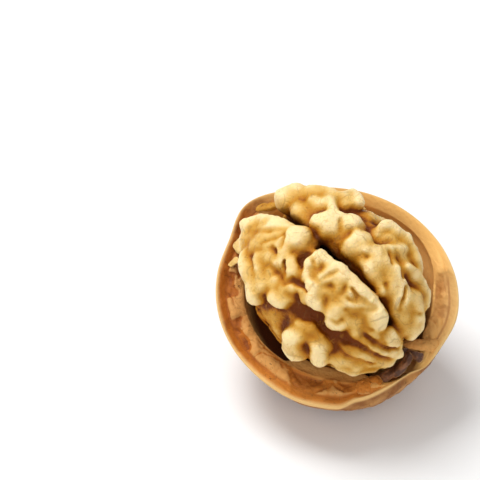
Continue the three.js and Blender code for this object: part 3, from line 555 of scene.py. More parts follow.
# crests of the near lobe
nearFolds = {
    "plateEdge": [(-15.7, -4.1, 6.6, 1.11), (-14.3, -2.2, 7.8, 1.11), (-10.8, -1.6, 11.3, 1.11),
        (-8, -1, 12.8, 1.11), (-5.9, -0.5, 13.6, 1.11)],
    "topBulb": [(-5.6, -1, 13, 1.98), (-5.9, -1.6, 12.9, 1.98)],
    "bulbStem": [(-7, -2.5, 12.7, 1.03), (-5.6, -3.8, 12.9, 1.03), (-4.3, -5.1, 12.8, 0.95)],
    "plateLeft": [(-14.6, -5.8, 5.4, 0.79), (-13.6, -6.9, 5.4, 0.79)],
    "leftFacet": [(-11.2, -7.9, 7.2, 1.27), (-9.4, -8.9, 7.9, 1.27), (-7.3, -9.5, 9, 1.11)],
    "facetRidge": [(-8.9, -7.4, 10.3, 0.71), (-7.3, -8.3, 10.5, 0.71), (-6, -9.2, 10.3, 0.71),
        (-4.9, -10, 10, 0.71)],
    "arch": [(-8.4, -6.7, 10.6, 0.79), (-6.9, -6.3, 11.5, 0.79), (-5.1, -5.9, 12.4, 0.71)],
    "leftBulb": [(-6.2, -10.6, 8.2, 1.27), (-4.9, -11.2, 7.8, 1.43)],
    "crossFold": [(-6.1, -10, 9.1, 0.79), (-4.6, -9.2, 10.3, 0.79), (-3.3, -8.2, 11.4, 0.79)],
    "footKnob": [(-2.2, -9.5, 10.2, 1.43), (-1.1, -9.2, 10.5, 1.43)],
    "footStrand": [(-1.7, -7.9, 11.7, 0.79), (-1, -6.8, 12.4, 0.79)],
    "neckArc": [(-0.3, -6.7, 12.5, 0.63), (0.4, -5.9, 12.8, 0.71), (1.6, -6, 12.6, 0.63)],
    "neckRib": [(-3.3, -4.3, 13.3, 0.57), (-1.5, -5.2, 13.2, 0.57)],
    "neckSide": [(1.1, -6.2, 12.6, 0.63), (2, -7.1, 11.7, 0.63)],
    "smallKnob": [(-3.1, -5.3, 12.9, 1.03), (-2.4, -5.7, 12.9, 1.03)],
    "sideWall": [(-1.5, -10.6, 6.8, 0.95), (0, -11.2, 5.6, 0.95), (1.5, -11.3, 4.8, 0.95)],
    "lowKnobLeft": [(4, -10.8, 7, 2.14), (4.6, -11.3, 4.9, 2.3)],
    "lowKnobRight": [(7.8, -9.4, 7.2, 1.51), (8.3, -10, 5.4, 1.67)],
    "lowKnobBridge": [(4.8, -9.9, 7.9, 0.95), (5.9, -9.5, 7.7, 0.95), (7.1, -9.1, 7.4, 0.95)],
    "lowRidge": [(3.4, -9.6, 9.1, 0.56), (5.3, -8.9, 9.1, 0.56), (7.2, -8.4, 8.5, 0.56),
        (9, -8.3, 7, 0.56)],
    "chunkLeft": [(-1, -1.2, 14.5, 1.03), (-0.8, -2.8, 14.3, 1.03), (0.1, -4.3, 13.9, 1.03),
        (1.4, -4.9, 13.7, 1.03), (2.4, -5, 13.6, 0.95)],
    "chunkTop": [(-0.9, -0.7, 14.7, 0.71), (0.7, -0.7, 14.6, 0.79), (2.5, -0.7, 14.4, 0.79)],
    "chunkAcross": [(2.2, -4.8, 13.7, 0.95), (2.4, -3.2, 14.2, 0.95), (2.4, -1.7, 14.4, 0.95),
        (2.9, -0.5, 14.5, 0.95)],
    "cleftCrest": [(3.6, -0.5, 14.1, 1.11), (5.2, -0.3, 13.5, 1.27), (7.1, -0.3, 12.9, 1.27),
        (8.9, -0.2, 11.9, 1.35), (10.5, 0, 10.8, 1.43)],
    "chunkSpur": [(3.8, -1.1, 14.3, 0.71), (4.9, -2.5, 13.8, 0.71)],
    "secondSpur": [(6.2, -0.8, 13.6, 0.71), (6.8, -2.2, 13.2, 0.71)],
    "roughPatch": [(3.6, -4.1, 13.4, 0.79), (4.9, -3.8, 13.2, 0.79)],
    "squareKnob": [(3.2, -6.2, 12.5, 1.27), (4, -5.9, 12.4, 1.27)],
    "broadKnob": [(6.7, -3.2, 12.1, 1.75), (6.7, -4.5, 11.5, 1.98), (7.4, -5.4, 10.8, 1.9)],
    "endKnob": [(11, -0.6, 9.9, 1.83), (11.4, -1.2, 9.6, 1.75)],
    "knobBridge": [(7.7, -2.1, 12.2, 1.11), (9.1, -1.1, 11.7, 1.11)],
    "stemKnob": [(13.5, -0.5, 7.1, 1.43), (14.3, -0.1, 5.6, 1.35)],
    "drapeFirst": [(12.2, -2.9, 9.3, 0.63), (13.3, -2.1, 8.1, 0.63), (14.4, -1.2, 6.5, 0.63),
        (15.2, 0.1, 4.7, 0.63)],
    "drapeSecond": [(10.7, -4.3, 9.9, 0.51), (11.9, -4, 9.1, 0.51), (13, -4, 7.8, 0.54),
        (14.5, -2.5, 6, 0.6), (15.5, -0.3, 3.4, 0.67)],
    "drapeThird": [(11.4, -6, 7.9, 0.57), (12.7, -5.6, 6.4, 0.67), (14, -4.5, 4.3, 0.73),
        (15.1, -2.1, 1.9, 0.71)],
    "drapeLast": [(10, -8.8, 5.6, 0.71), (11.2, -8.3, 3.4, 0.87), (12.4, -6.9, 2, 0.95),
        (13.8, -4.5, 1.2, 0.87)],
}

# crests of the far lobe
farFolds = {
    "tipBulb": [(-14.7, 3.4, 7.4, 1.59), (-14.2, 4.9, 7.5, 1.59), (-13.5, 5.9, 7, 1.43)],
    "topRidge": [(-11.6, 6.9, 8.5, 1.43), (-10.1, 7.7, 9.3, 1.43), (-8.3, 7.8, 10.4, 1.43)],
    "ridgeStem": [(-7.5, 6.9, 11.6, 1.03), (-5.7, 5.8, 12.6, 1.03)],
    "backKnob": [(-7.2, 9.3, 10.2, 1.03), (-7.2, 11, 8.5, 1.11), (-4.9, 10.4, 10.4, 0.79)],
    "cleftRidge": [(-6, 2.8, 13.4, 1.11), (-4.7, 4.2, 13.3, 1.27), (-3.4, 5.5, 13, 1.43),
        (-2.4, 6.5, 12.7, 1.51), (-1.7, 6.7, 12.8, 1.43)],
    "middleBulb": [(1.1, 4.2, 13.2, 1.75), (1, 5.1, 13.2, 1.59)],
    "bulbTop": [(0.9, 5.4, 13.8, 0.87), (1.8, 6, 13.5, 0.87)],
    "ringLower": [(2.9, 5, 13.6, 0.95), (4.2, 6.2, 13, 0.87), (5.1, 8.1, 11.9, 0.87),
        (5.3, 10, 10.4, 0.95)],
    "ringUpper": [(4, 11.6, 9.2, 1.03), (2.5, 11.2, 10.3, 1.03), (1.2, 10.7, 10.9, 1.27)],
    "ringLeft": [(1.1, 9.8, 11.5, 0.63), (1.2, 8.3, 11.6, 0.63)],
    "outerRidge": [(4.4, 11.9, 8.6, 1.03), (5.9, 11.5, 8.2, 1.03), (7.3, 10.8, 8.2, 0.95)],
    "outerFold": [(8.3, 8.4, 10.2, 0.71), (9.5, 8.7, 9, 0.79), (10.7, 8.9, 7.3, 0.87),
        (11.8, 8.7, 5.6, 0.95), (12.8, 7.3, 5.4, 0.95)],
    "mound": [(5.2, 4.7, 12.7, 1.43), (6, 5.8, 12, 1.51), (7.5, 5.8, 11.5, 1.43), (8.7, 5.4, 11, 1.43)],
    "moundSide": [(4.2, 3.8, 13, 0.95), (6.6, 3.3, 12.4, 0.95), (8.8, 2.8, 11.4, 0.95)],
    "ovalBulb": [(9.8, 4.7, 10.1, 1.75), (11.1, 4.1, 9.4, 1.59)],
    "sideBulb": [(11.7, 6.2, 8.1, 1.27), (12.7, 5.8, 6.9, 1.27)],
    "stemBulb": [(13.3, 4.8, 5.7, 1.59), (13.9, 3.7, 4.5, 1.67), (14.8, 2.9, 4, 1.11)],
}

# hollows and basins between the swells
hollows = {
    "underChunk": [(1.5, -9.6, 10.7, 1.43), (3.7, -8.4, 11.2, 1.75), (6.2, -7.6, 10.9, 1.9),
        (9.1, -7.2, 10, 1.75), (11.3, -6.2, 9, 1.11)],
    "bulbShadow": [(-2.3, -3.6, 13.9, 1.11), (-2.3, -2.5, 14.4, 1.27), (-2.1, -1.2, 14.9, 1.11)],
    "leftBasin": [(-4.6, -7.4, 13.7, 1.59), (-3.2, -7.8, 13.5, 1.43)],
    "leftPit": [(-7.4, -5.5, 12.6, 0.63), (-6.7, -5.4, 12.8, 0.63)],
    "innerValley": [(-1.6, -4.4, 14.4, 0.71), (-0.4, -5.7, 13.9, 0.71), (0.5, -7, 12.9, 0.79),
        (1.8, -8, 11.6, 0.95)],
    "sideHollow": [(-0.3, -10.4, 9.7, 0.95), (1.1, -11.2, 8.8, 1.11), (2, -12.2, 6.7, 0.95)],
    "edgeValley": [(-3.1, -9.9, 10.9, 0.95), (-3, -11.1, 9.7, 0.95)],
    "knobPit": [(6.9, -11.6, 6.3, 0.57), (7.2, -11.4, 6.2, 0.57)],
    "chunkPit": [(1, -2.8, 15.4, 0.6), (0.9, -1.8, 15.6, 0.73), (1.1, -0.7, 15.7, 0.6)],
    "chunkHollow": [(2.9, -4.5, 14.6, 0.63), (3.6, -3.7, 14.7, 0.95), (4.7, -3.5, 14.4, 0.95),
        (5.8, -3.9, 14, 0.71)],
    "spurPit": [(5.1, -0.7, 14.7, 0.54), (5.6, -1.6, 14.4, 0.67), (6, -2.7, 14.1, 0.57)],
    "chunkFold": [(4.7, -4.6, 13.9, 0.57), (5, -5.5, 13.4, 0.63), (5.9, -6.1, 12.8, 0.7)],
    "knobGap": [(8.4, -3.8, 13.4, 0.95), (9.6, -2.9, 13, 0.95), (10.3, -1.7, 12.8, 0.95)],
    "topGold": [(-7.6, 4.2, 14.7, 1.11), (-6.4, 3.6, 15.3, 1.19)],
    "ridgeBasin": [(-4.5, 7.5, 13.1, 1.35), (-3.9, 9, 12.4, 1.35)],
    "backNotch": [(-5.3, 13.2, 5.7, 1.59), (-4.1, 11.8, 5.5, 1.59), (-2.5, 10, 6.5, 1.59)],
    "ringPit": [(2.4, 6.5, 14.1, 1.27), (2.9, 7.7, 13.5, 1.59), (3.6, 8.8, 12.9, 1.27)],
    "outerValley": [(7.1, 8.1, 11.9, 0.63), (7.9, 9, 10.9, 0.63), (8.8, 10, 9.7, 0.71)],
    "outerBasin": [(8.8, 7.2, 11.4, 0.95), (10.2, 7.2, 10.3, 1.11), (11.7, 7.2, 8.9, 0.95)],
    "middleGap": [(-0.8, 2.7, 15.1, 0.95), (0, 3.4, 15, 0.95), (-0.2, 4.8, 14.7, 0.95)],
    "bulbFoot": [(3.3, 1.9, 14.5, 0.95), (5.8, 2, 13.9, 0.95)],
}

# narrow creases cut into the finished folds
creases = {
    "topCrease": [(-12.3, 6.3, 10.6, 0.41), (-10.1, 4.7, 12.3, 0.48), (-8.3, 3.5, 13.1, 0.51),
        (-7.2, 2.3, 13.4, 0.48)],
    "middleCrease": [(-3.4, 5.6, 14.7, 0.38), (-2.1, 4.5, 14.7, 0.44), (-1.1, 3.1, 14.4, 0.51)],
    "plateLine": [(-14.9, -5.2, 7.7, 0.35), (-11.3, -4, 11.8, 0.38), (-8.3, -1.7, 14, 0.38)],
    "plateCut": [(-10, -5.6, 11.8, 0.35), (-8.7, -4.1, 13.1, 0.41), (-7.8, -2.3, 13.8, 0.35)],
    "plateSpot": [(-11.1, -7.1, 10.4, 0.48), (-9.4, -6.5, 11.9, 0.48)],
    "bulbLine": [(-7.3, -2.7, 14, 0.38), (-6.4, -4.5, 13.8, 0.41)],
    "knobLine": [(-2, -7.7, 12.6, 0.38), (-1.1, -6.4, 13.4, 0.41), (0.7, -5.7, 13.6, 0.38)],
    "knobRim": [(-4.2, -5.3, 13.4, 0.35), (-2.9, -6.7, 13.1, 0.38)],
    "drapeCutA": [(11.8, -3.7, 10.1, 0.41), (13.4, -3.2, 8.5, 0.44), (14.7, -2, 7.1, 0.38),
        (15.7, -0.1, 5.3, 0.32)],
    "drapeCutB": [(11.6, -5.3, 9.1, 0.41), (13, -4.8, 7.9, 0.48), (14.5, -3.9, 6.2, 0.44),
        (15.7, -2.3, 3.6, 0.35)],
    "drapeCutC": [(10.2, -8.2, 8, 0.38), (11.8, -7.6, 6.8, 0.44), (13.3, -6.4, 6.1, 0.41),
        (14.7, -4.7, 4.3, 0.35)],
    "drapeCutD": [(8.9, -7.5, 10.1, 0.35), (10.2, -6.8, 9.5, 0.38), (11.3, -5.8, 9.1, 0.35)],
    "drapeCutE": [(13.5, -1.4, 9.3, 0.32), (13.9, -2, 8.5, 0.35), (14.4, -1.7, 7.8, 0.32)],
    "neckLine": [(-0.4, -6.4, 13.6, 0.32), (0.6, -5.8, 13.8, 0.35), (2, -5.9, 13.6, 0.32)],
    "drapeCutF": [(13.5, -2.9, 8.5, 0.35), (15.1, -1.6, 6.2, 0.35)],
    "broadLine": [(8, -3.7, 13.3, 0.35), (9.5, -2, 12.9, 0.38), (10.8, 0, 12.4, 0.35)],
    "knobCurl": [(7.7, -6.5, 12.4, 0.32), (8.5, -6.3, 12.1, 0.35), (8.7, -5.2, 12.4, 0.32)],
    "endRim": [(10.5, -2.4, 11.9, 0.35), (11.4, -2.8, 11.1, 0.38), (12.3, -2.5, 10.3, 0.35)],
    "ovalCutA": [(3.5, 4.1, 14.4, 0.35), (3.8, 2.6, 14.6, 0.35), (4.8, 1.5, 14.5, 0.32)],
    "ovalCutB": [(4, 4.2, 14.3, 0.32), (4.6, 2.5, 14.4, 0.32)],
    "stripCut": [(5.6, 7.9, 12.7, 0.35), (6.9, 6.7, 12.8, 0.35)],
    "stripCutB": [(5.9, 8.8, 12.2, 0.35), (7.5, 7.5, 12.2, 0.35)],
    "stripEdge": [(7.4, 8, 11.6, 0.41), (8.5, 7.3, 11.5, 0.44), (9.3, 6.3, 11.4, 0.38)],
    "endCut": [(10.8, 5.7, 10.9, 0.38), (12, 4.4, 10.4, 0.41), (13, 3, 9.7, 0.38)],
    "ovalFoot": [(11.5, 1.2, 11.3, 0.35), (12.7, 1.9, 10.3, 0.38), (12.9, 3.2, 9.7, 0.35)],
    "moundLine": [(7.6, 1.2, 13.9, 0.32), (7.7, 3.2, 13.7, 0.35), (8.9, 4, 12.8, 0.32)],
    "stemFold": [(13.7, 2.7, 9.1, 0.32), (13.8, 4.3, 8.6, 0.35), (14.3, 5.4, 7, 0.32)],
    "ovalEdge": [(8.8, 3.7, 12.4, 0.38), (10.2, 2.7, 11.8, 0.44), (11.8, 2.3, 10.5, 0.38)],
    "chunkRidgeA": [(-1, -2.4, 15.5, 0.32), (0.4, -3.2, 15.3, 0.38), (1.5, -4.4, 15, 0.32)],
    "chunkRidgeB": [(2.4, -3.4, 15.2, 0.29), (2.7, -2, 15.4, 0.35), (3.2, -1, 15.5, 0.29)],
    "chunkRidgeC": [(6.9, -2.4, 14, 0.29), (8.1, -1.7, 13.6, 0.35), (9.3, -0.8, 13.1, 0.32),
        (10.3, 0.1, 12.6, 0.29)],
    "chunkRidgeD": [(6.5, -1.1, 14.3, 0.29), (7.7, -1.2, 13.7, 0.35), (8.8, -0.7, 13.3, 0.29)],
    "chunkLine": [(-0.2, -3.7, 15.3, 0.32), (1.1, -4.2, 15.2, 0.35), (2.4, -4.2, 15, 0.32)],
}

# browner and paler patches of its skin, with painted shade on the drape and lower knob and painted light on
# the far lobe's top: u, v, h, radius, and how much darker
stainsAndShade = {
    # the drape's and the lower knob's darker entries are painted shade, the far lobe's paler top is painted
    # light
    "shadedDrape": (11.2, -7.2, 8.8, 2.4, 0.42), "middleDrape": (12.6, -4.7, 9.0, 2.4, 0.3),
    "drapeEnd": (14.7, -2.6, 6.9, 2.4, 0.14), "drapeRoot": (9.6, -7.5, 10.0, 1.4, 0.3),
    "underChunk": (3.9, -7.8, 9.6, 2.5, 0.1), "channelFoot": (1.3, -7.5, 11.1, 1.6, 0.1),
    "basin": (-4.5, -7.4, 11.9, 1.6, -0.25), "neckShade": (-2.3, -2.8, 14.8, 1.6, 0.22),
    "knobPit": (6.5, -11.7, 7.8, 1.4, 0.36), "shadedKnob": (6.6, -9.4, 10.4, 2.2, 0.28),
    "plateSide": (-3.5, -11.0, 10.4, 1.6, 0.12), "lowWall": (1.2, -11.0, 10.7, 1.6, 0.12),
    "litTop": (-4.6, 5.8, 14.0, 4.1, -0.18), "paleTip": (-12.3, 4.0, 11.0, 2.5, -0.06),
    "palePlate": (-10.7, -5.4, 11.2, 3.5, 0.03), "paleRing": (5.4, 6.6, 13.3, 3.5, -0.06),
    "knobGlow": (-3.7, 9.1, 12.8, 1.1, 0.14), "ringGlow": (2.2, 8.1, 12.0, 1.7, -0.3),
    "outerGlow": (6.9, 8.6, 10.3, 1.4, -0.3), "basinGlow": (9.9, 7.7, 9.0, 1.4, -0.3),
    "chunkGold": (5.2, -2.1, 14.2, 1.1, 0.14), "middleGold": (-8.2, 5.3, 11.7, 1.6, -0.3),
    "ridgeGold": (3.5, 2.9, 14.7, 1.4, 0.1),
}


def barDistance(points, start, end):          # to a round bar whose radius changes evenly
    start, end = np.array(start, np.float32), np.array(end, np.float32)
    axis = end[:3] - start[:3]
    away = points - start[:3]
    t = np.clip(away @ axis / (axis @ axis), 0, 1)
    gap = np.linalg.norm(away - t[:, None] * axis, axis=1)
    return gap - blendBetween(start[3], end[3], t)


def chainDistance(points, chain):
    distance = barDistance(points, chain[0], chain[1])
    for start, end in zip(chain[1:-1], chain[2:]):
        distance = softMin(distance, barDistance(points, start, end), kernelForm["chainBlend"])
    return distance


def ovalDistance(points, middle, radii):
    scaled = (points - np.array(middle, np.float32)) / np.array(radii, np.float32)
    far = np.linalg.norm(scaled, axis=1)
    slope = np.linalg.norm(scaled / np.array(radii, np.float32), axis=1)
    return far * (far - 1) / np.maximum(slope, 1e-6)


def sideValleys(u, v, h):                     # winding valleys over the sides and the underside
    first = np.sin(0.62 * (u + 1.6 * np.sin(0.5 * v + 0.6 * h)) + 0.5)
    second = np.sin(0.6 * (h + 1.5 * np.sin(0.55 * u) + 1.2 * np.sin(0.5 * v)) + 1.2)
    return np.maximum(stripe(first, 0.3), 0.8 * stripe(second, 0.3))


def cupDistance(u, v, h):                     # room that the cup leaves, negative inside it
    angle = np.arctan2(v, u)
    top = cupTop(angle)
    below = np.maximum(top - h, 0) / (shellForm["cavityDepth"] + top)
    far = np.hypot(np.hypot(u, v) / wallRadius(angle, np.clip(below, 0, 1)), below)
    return (far - 1) * kernelForm["cupScale"] + kernelForm["seatGap"]


def joinChains(distance, points, chains, blend, cut=False):
    for chain in chains.values():
        nodes = np.array(chain)
        reach = nodes[:, 3].max() + 2.4       # farther away a chain changes nothing
        low, high = nodes[:, :3].min(0) - reach, nodes[:, :3].max(0) + reach
        near = np.flatnonzero(((points > low) & (points < high)).all(1))
        if len(near) and cut:
            distance[near] = softMax(distance[near], -chainDistance(points[near], chain), blend)
        elif len(near):
            distance[near] = softMin(distance[near], chainDistance(points[near], chain), blend)
    return distance


strays = [Lumps(seed) for seed in (21, 22, 23)]


def kernelDistance(points):                   # negative inside the kernel
    form = kernelForm
    stray = np.stack([lumps.fine(points, form["wanderSize"], 2) for lumps in strays], -1)
    bent = (points + form["wander"] * stray).astype(np.float32)
    u, v, h = bent.T
    valleyRadii = np.array(form["domeRadii"]) - np.array(form["valleyDepth"])
    dome = ovalDistance(bent, form["domeMiddle"], valleyRadii)
    nearWall = v + form["nearWall"] - form["nearSway"] * np.sin(0.35 * u + 0.4)
    farWall = form["farWall"] + form["farSway"] * np.sin(0.42 * u + 1) - v
    farWall = farWall + form["farLean"] * np.maximum(h, 0)
    lobes = [softMax(dome, wall, form["wallBlend"]) for wall in (nearWall, farWall)]
    lobes = [softMax(lobe, form["lobeFoot"] - h, form["footBlend"]) for lobe in lobes]
    lower = ovalDistance(bent, form["lowerMiddle"], form["lowerRadii"])
    lower = softMax(lower, h - form["lowerTop"], form["footBlend"])
    distance = softMin(softMin(*lobes, form["lobeBlend"]), lower, form["lowerBlend"])
    distance = joinChains(distance, bent, cleftFloor, form["floorBlend"])
    low, far = (form["sideTop"] - h) / form["sideFade"], (v - form["farSide"]) / form["farFade"]
    sides = np.maximum(smoothStep(low), smoothStep(far))
    distance = distance + form["sideFoldDepth"] * sideValleys(u, v, h) * sides
    distance = joinChains(distance, bent, {**nearBodies, **farBodies}, form["bodyBlend"])
    distance = joinChains(distance, bent, hollows, form["hollowBlend"], cut=True)
    distance = joinChains(distance, bent, {**nearFolds, **farFolds}, form["foldBlend"])
    distance = joinChains(distance, bent, creases, form["creaseBlend"], cut=True)
    u, v, h = points.T
    cup = np.minimum(cupDistance(u, v, h), form["overRim"] - h)
    room = partitionRoom
    across = np.minimum(v - room["vLow"], room["vHigh"] - v)
    partition = np.minimum(np.minimum(u - room["u"], across), room["h"] - h)
    return np.maximum(np.maximum(distance, cup), partition)


def gridOf(cell):
    spans = zip(kernelForm["low"], kernelForm["high"])
    lines = [np.arange(a, b + cell / 2, cell, dtype=np.float32) for a, b in spans]
    return np.stack(np.meshgrid(*lines, indexing="ij"), -1)


def blurred(field, reach):                    # mean over a box, done twice along each axis
    for axis in (0, 1, 2) * 2:
        first, last = field.take([0], axis), field.take([-1], axis)
        ends = np.repeat(first, reach + 1, axis), np.repeat(last, reach, axis)
        total = np.concatenate([ends[0], field, ends[1]], axis).cumsum(axis, dtype=np.float64)
        low = np.arange(field.shape[axis])
        high = total.take(low + 2 * reach + 1, axis)
        field = ((high - total.take(low, axis)) / (2 * reach + 1)).astype(np.float32)
    return field


def readAt(field, place):                     # value of the grid between its cells
    base = np.clip(np.floor(place).astype(int), 0, np.array(field.shape) - 2)
    return betweenCells(field, base, place - base)


def kernelField():                            # rough everywhere, exact near the surface
    form = kernelForm
    rough = gridOf(form["roughCell"])
    roughField = kernelDistance(rough.reshape(-1, 3)).reshape(rough.shape[:3])
    grid = gridOf(form["cell"])
    distance = readAt(roughField, (grid.reshape(-1, 3) - np.array(form["low"])) / form["roughCell"])
    near = np.flatnonzero(np.abs(distance) < form["band"])
    distance[near] = kernelDistance(grid.reshape(-1, 3)[near])
    return distance.reshape(grid.shape[:3]) / form["cell"]        # in cells


def stainAndShadeAt(points):                          # how much darker the skin is there, from its stains and from painted shade and light
    total = np.zeros(len(points))
    for u, v, h, reach, darker in stainsAndShade.values():
        away = np.linalg.norm(points - (u, v, h), axis=1)
        total += darker * smoothStep(kernelForm["stainEdge"] - away / reach)
    return total


def skinFlakeValues(flake, edge):
    return {"small": 0.3, "broad": 0.4, "domeDepth": 0.0, "stainAndShade": flake["darker"]}


def makeKernel():
    form, field = kernelForm, kernelField()
    print("kernel: folds worked out")
    volume = openvdb.FloatGrid(background=3.0)
    volume.copyFromArray(np.clip(field, -3, 3).astype(np.float32))
    spots, quads = volume.convertToQuads(isovalue=0.0)
    spots, quads = np.array(spots, float), np.array(quads)[:, ::-1].astype(int)
    solid = np.clip(0.5 - field, 0, 1).astype(np.float32)
    means = [readAt(blurred(solid, form[key]), spots) for key in ("crestCells", "swellCells")]
    small, broad = (1 - 2 * mean for mean in means)       # above 0 on crests, below 0 in creases
    points = np.array(form["low"]) + spots * form["cell"]
    domeDepth = -ovalDistance(points, form["domeMiddle"], form["domeRadii"])
    fine = Lumps(24)
    lines = form["wrinkleLines"] * stripe(fine.at(points, form["lineSize"]), 0.09)
    wrinkles = form["wrinkle"] * (fine.fine(points, form["wrinkleSize"]) - lines)
    points = points + outwardNormals(points, quads) * wrinkles[:, None]
    values = {"small": small, "broad": broad, "domeDepth": domeDepth, "stainAndShade": stainAndShadeAt(points)}
    faces = quads.tolist()
    points = addFlakes(points, faces, values, skinFlakes, fine, form["flakeGrid"], skinFlakeValues)
    return makePiece("kernel_visual", points, faces, values, "kernel")


kernel = makeKernel()


# The partition

# Each flake is a thin sheet through a net of points u, v, h: rows along it, columns across it
partitionFlakes = {
    "longStrip": {"thick": 0.28, "net": [
        [(13.7, -4.2, -2.6), (14.8, -4.8, -2.2), (15.9, -5.2, -2.2)],
        [(14.6, -2.5, -1.8), (15.5, -2.9, -1.4), (16.5, -3.2, -1.6)],
        [(15.1, -1.2, -1.3), (16.1, -1.7, -0.9), (17.1, -2, -1.3)],
        [(15.2, 0.2, -0.9), (16.3, -0.4, -0.4), (17.2, -0.6, -0.9)],
        [(14.7, 1.9, -0.6), (15.9, 1.7, -0.1), (17, 1.5, -0.8)]]},
    "darkFlake": {"thick": 0.3, "net": [
        [(13.8, 1.5, -0.8), (14.5, 1.2, -1.2), (15.3, 1.2, -1.8)],
        [(14.8, 2.1, -0.4), (15.6, 1.8, -1), (16.3, 1.5, -1.6)],
        [(16.1, 2.6, -0.2), (16.5, 2.2, -0.8), (17.2, 1.7, -1.4)],
        [(17, 3.5, -0.1), (17.4, 2.8, -0.7), (17.8, 2, -1.2)]]},
    "tongue": {"thick": 0.3, "net": [
        [(14.4, 1.1, -1.2), (15.2, 0.9, -1.2), (16.0, 1.0, -1.4)],
        [(14.4, 0.8, -2.6), (15.2, 1.1, -2.6), (16.0, 1.2, -2.7)],
        [(14.4, 1.2, -3.9), (15.1, 1.0, -3.9), (15.9, 1.0, -3.9)],
        [(14.5, 1.0, -5.1), (15.1, 0.9, -5.1), (15.7, 1.0, -5.0)]]},
}
partitionGrid = (60, 26)


def partitionValues(flake, edge):
    return {"edge": edge}


def makePartition():
    points, faces, values, lumps = np.zeros((0, 3)), [], {"edge": np.zeros(0)}, Lumps(31)
    points = addFlakes(points, faces, values, partitionFlakes, lumps, partitionGrid, partitionValues)
    return makePiece("septum_visual", points, faces, values, "septum")


partition = makePartition()


# Materials

class Amount:                                 # a socket, so that sums on it read as plain maths
    def __init__(self, finish, socket):
        self.finish, self.socket = finish, socket

    def maths(self, operation, first, second):
        return self.finish.node("Math", {"operation": operation}, {0: first, 1: second})

    def __add__(self, other):
        return self.maths("ADD", self, other)

    def __radd__(self, other):
        return self.maths("ADD", other, self)

    def __sub__(self, other):
        return self.maths("SUBTRACT", self, other)

    def __rsub__(self, other):
        return self.maths("SUBTRACT", other, self)

    def __mul__(self, other):
        return self.maths("MULTIPLY", self, other)

    def __rmul__(self, other):
        return self.maths("MULTIPLY", other, self)


def newMaterial(name):
    material = bpy.data.materials.new(name)
    material.use_nodes = True
    return material, next(n for n in material.node_tree.nodes if n.type == "BSDF_PRINCIPLED")


class Finish:                                 # one procedural material
    def __init__(self, name):
        self.material, self.surface = newMaterial(name)
        self.place = self.read("nutPlace", "Vector")

    def put(self, socket, value):
        if isinstance(value, Amount):
            self.material.node_tree.links.new(value.socket, socket)
        else:
            socket.default_value = value

    def node(self, kind, settings, sockets, out=0):
        made = self.material.node_tree.nodes.new("ShaderNode" + kind)
        for key, value in settings.items():
            setattr(made, key, value)
        for key, value in sockets.items():
            self.put(made.inputs[key], value)
        return Amount(self, made.outputs[out])

    def read(self, name, out="Fac"):
        return self.node("Attribute", {"attribute_name": name}, {}, out)

    def axis(self, k):                        # 0 along the nut, 1 across it, 2 out of the open side
        return self.node("SeparateXYZ", {}, {0: self.place}, k)

    def gap(self, value, middle):             # how far it is from the middle value
        return self.node("Math", {"operation": "ABSOLUTE"}, {0: value - middle})

    def noise(self, perMm, detail=3.0, stretch=None, rough=0.55, twist=0.0):
        place = self.place
        if stretch:
            place = self.node("VectorMath", {"operation": "MULTIPLY"}, {0: place, 1: stretch})
        return self.node("TexNoise", {}, {
            "Vector": place, "Scale": perMm, "Detail": detail, "Roughness": rough, "Distortion": twist})

    def ease(self, value, low, high):         # 0 at low, 1 at high
        sockets = {0: value, 1: low, 2: high, 3: 0.0, 4: 1.0}
        return self.node("MapRange", {"interpolation_type": "SMOOTHSTEP"}, sockets)

    def lines(self, perMm, detail, twist, width, patches):        # thin winding lines that come and go
        where, low, high = patches
        line = self.ease(self.gap(self.noise(perMm, detail, twist=twist), 0.5), width, 0.0)
        return line * self.ease(self.noise(where, 1.0), low, high)

    def blend(self, share, first, second):
        settings = {"data_type": "RGBA", "clamp_factor": True}
        return self.node("Mix", settings, {0: share, 6: first, 7: second}, 2)

    def layers(self, color, steps):           # each step is a share and the colour that it brings
        for share, tint in steps:
            color = self.blend(share, color, tint)
        return color

    def give(self, piece, look, color, grain, height):
        bump = self.node("Bump", {}, {"Height": height, "Distance": look["bumpMm"] / 1000})
        rough = look["rough"] + grain * look["roughGrain"]
        sockets = {"Base Color": color, "Roughness": rough, "Normal": bump, **look["even"]}
        for key, value in sockets.items():
            self.put(self.surface.inputs[key], value)
        piece.data.materials.clear()
        piece.data.materials.append(self.material)


def tone(red, green, blue):                   # screen colour, 0 to 255, as a linear colour
    parts = (c / 255 for c in (red, green, blue))
    return (*(((c + 0.055) / 1.055) ** 2.4 if c > 0.04045 else c / 12.92 for c in parts), 1.0)


kernelLook = {
    # partly the skin's own tones; the palest stands in for painted highlight on the crests, deep and cleft
    # for painted shade, and deep also colours the flecks
    "top": tone(246, 220, 163), "crest": tone(221, 178, 96), "side": tone(196, 138, 42),
    "fold": tone(170, 100, 10), "deep": tone(108, 48, 0), "cleft": tone(50, 20, 4),
    "vein": tone(128, 92, 50),
    "bands": (                                # colour, and the skin's levels where it starts and is full; low levels are painted shade, high ones painted highlight
        ("fold", -0.6, -0.24), ("side", -0.42, -0.02), ("crest", -0.12, 0.22), ("top", 0.12, 0.55)),
    "crestHighlightAndCreaseShade": 0.55, "depthShade": 0.13, "lowSideShade": 0.27, "patches": 0.5, "blush": 0.7, "darker": 0.02,
    "creases": 0.7, "cleftSideShade": 0.85, "veins": 0.35, "threads": 0.35, "flecks": 0.45,
    "rough": 0.38, "roughGrain": 0.16, "bumpMm": 0.14,
    "even": {                                 # the same all over
        "Specular IOR Level": 0.15, "Subsurface Weight": 0.1, "Subsurface Scale": 0.0006,
        "Subsurface Radius": (1.0, 0.5, 0.12)},
}


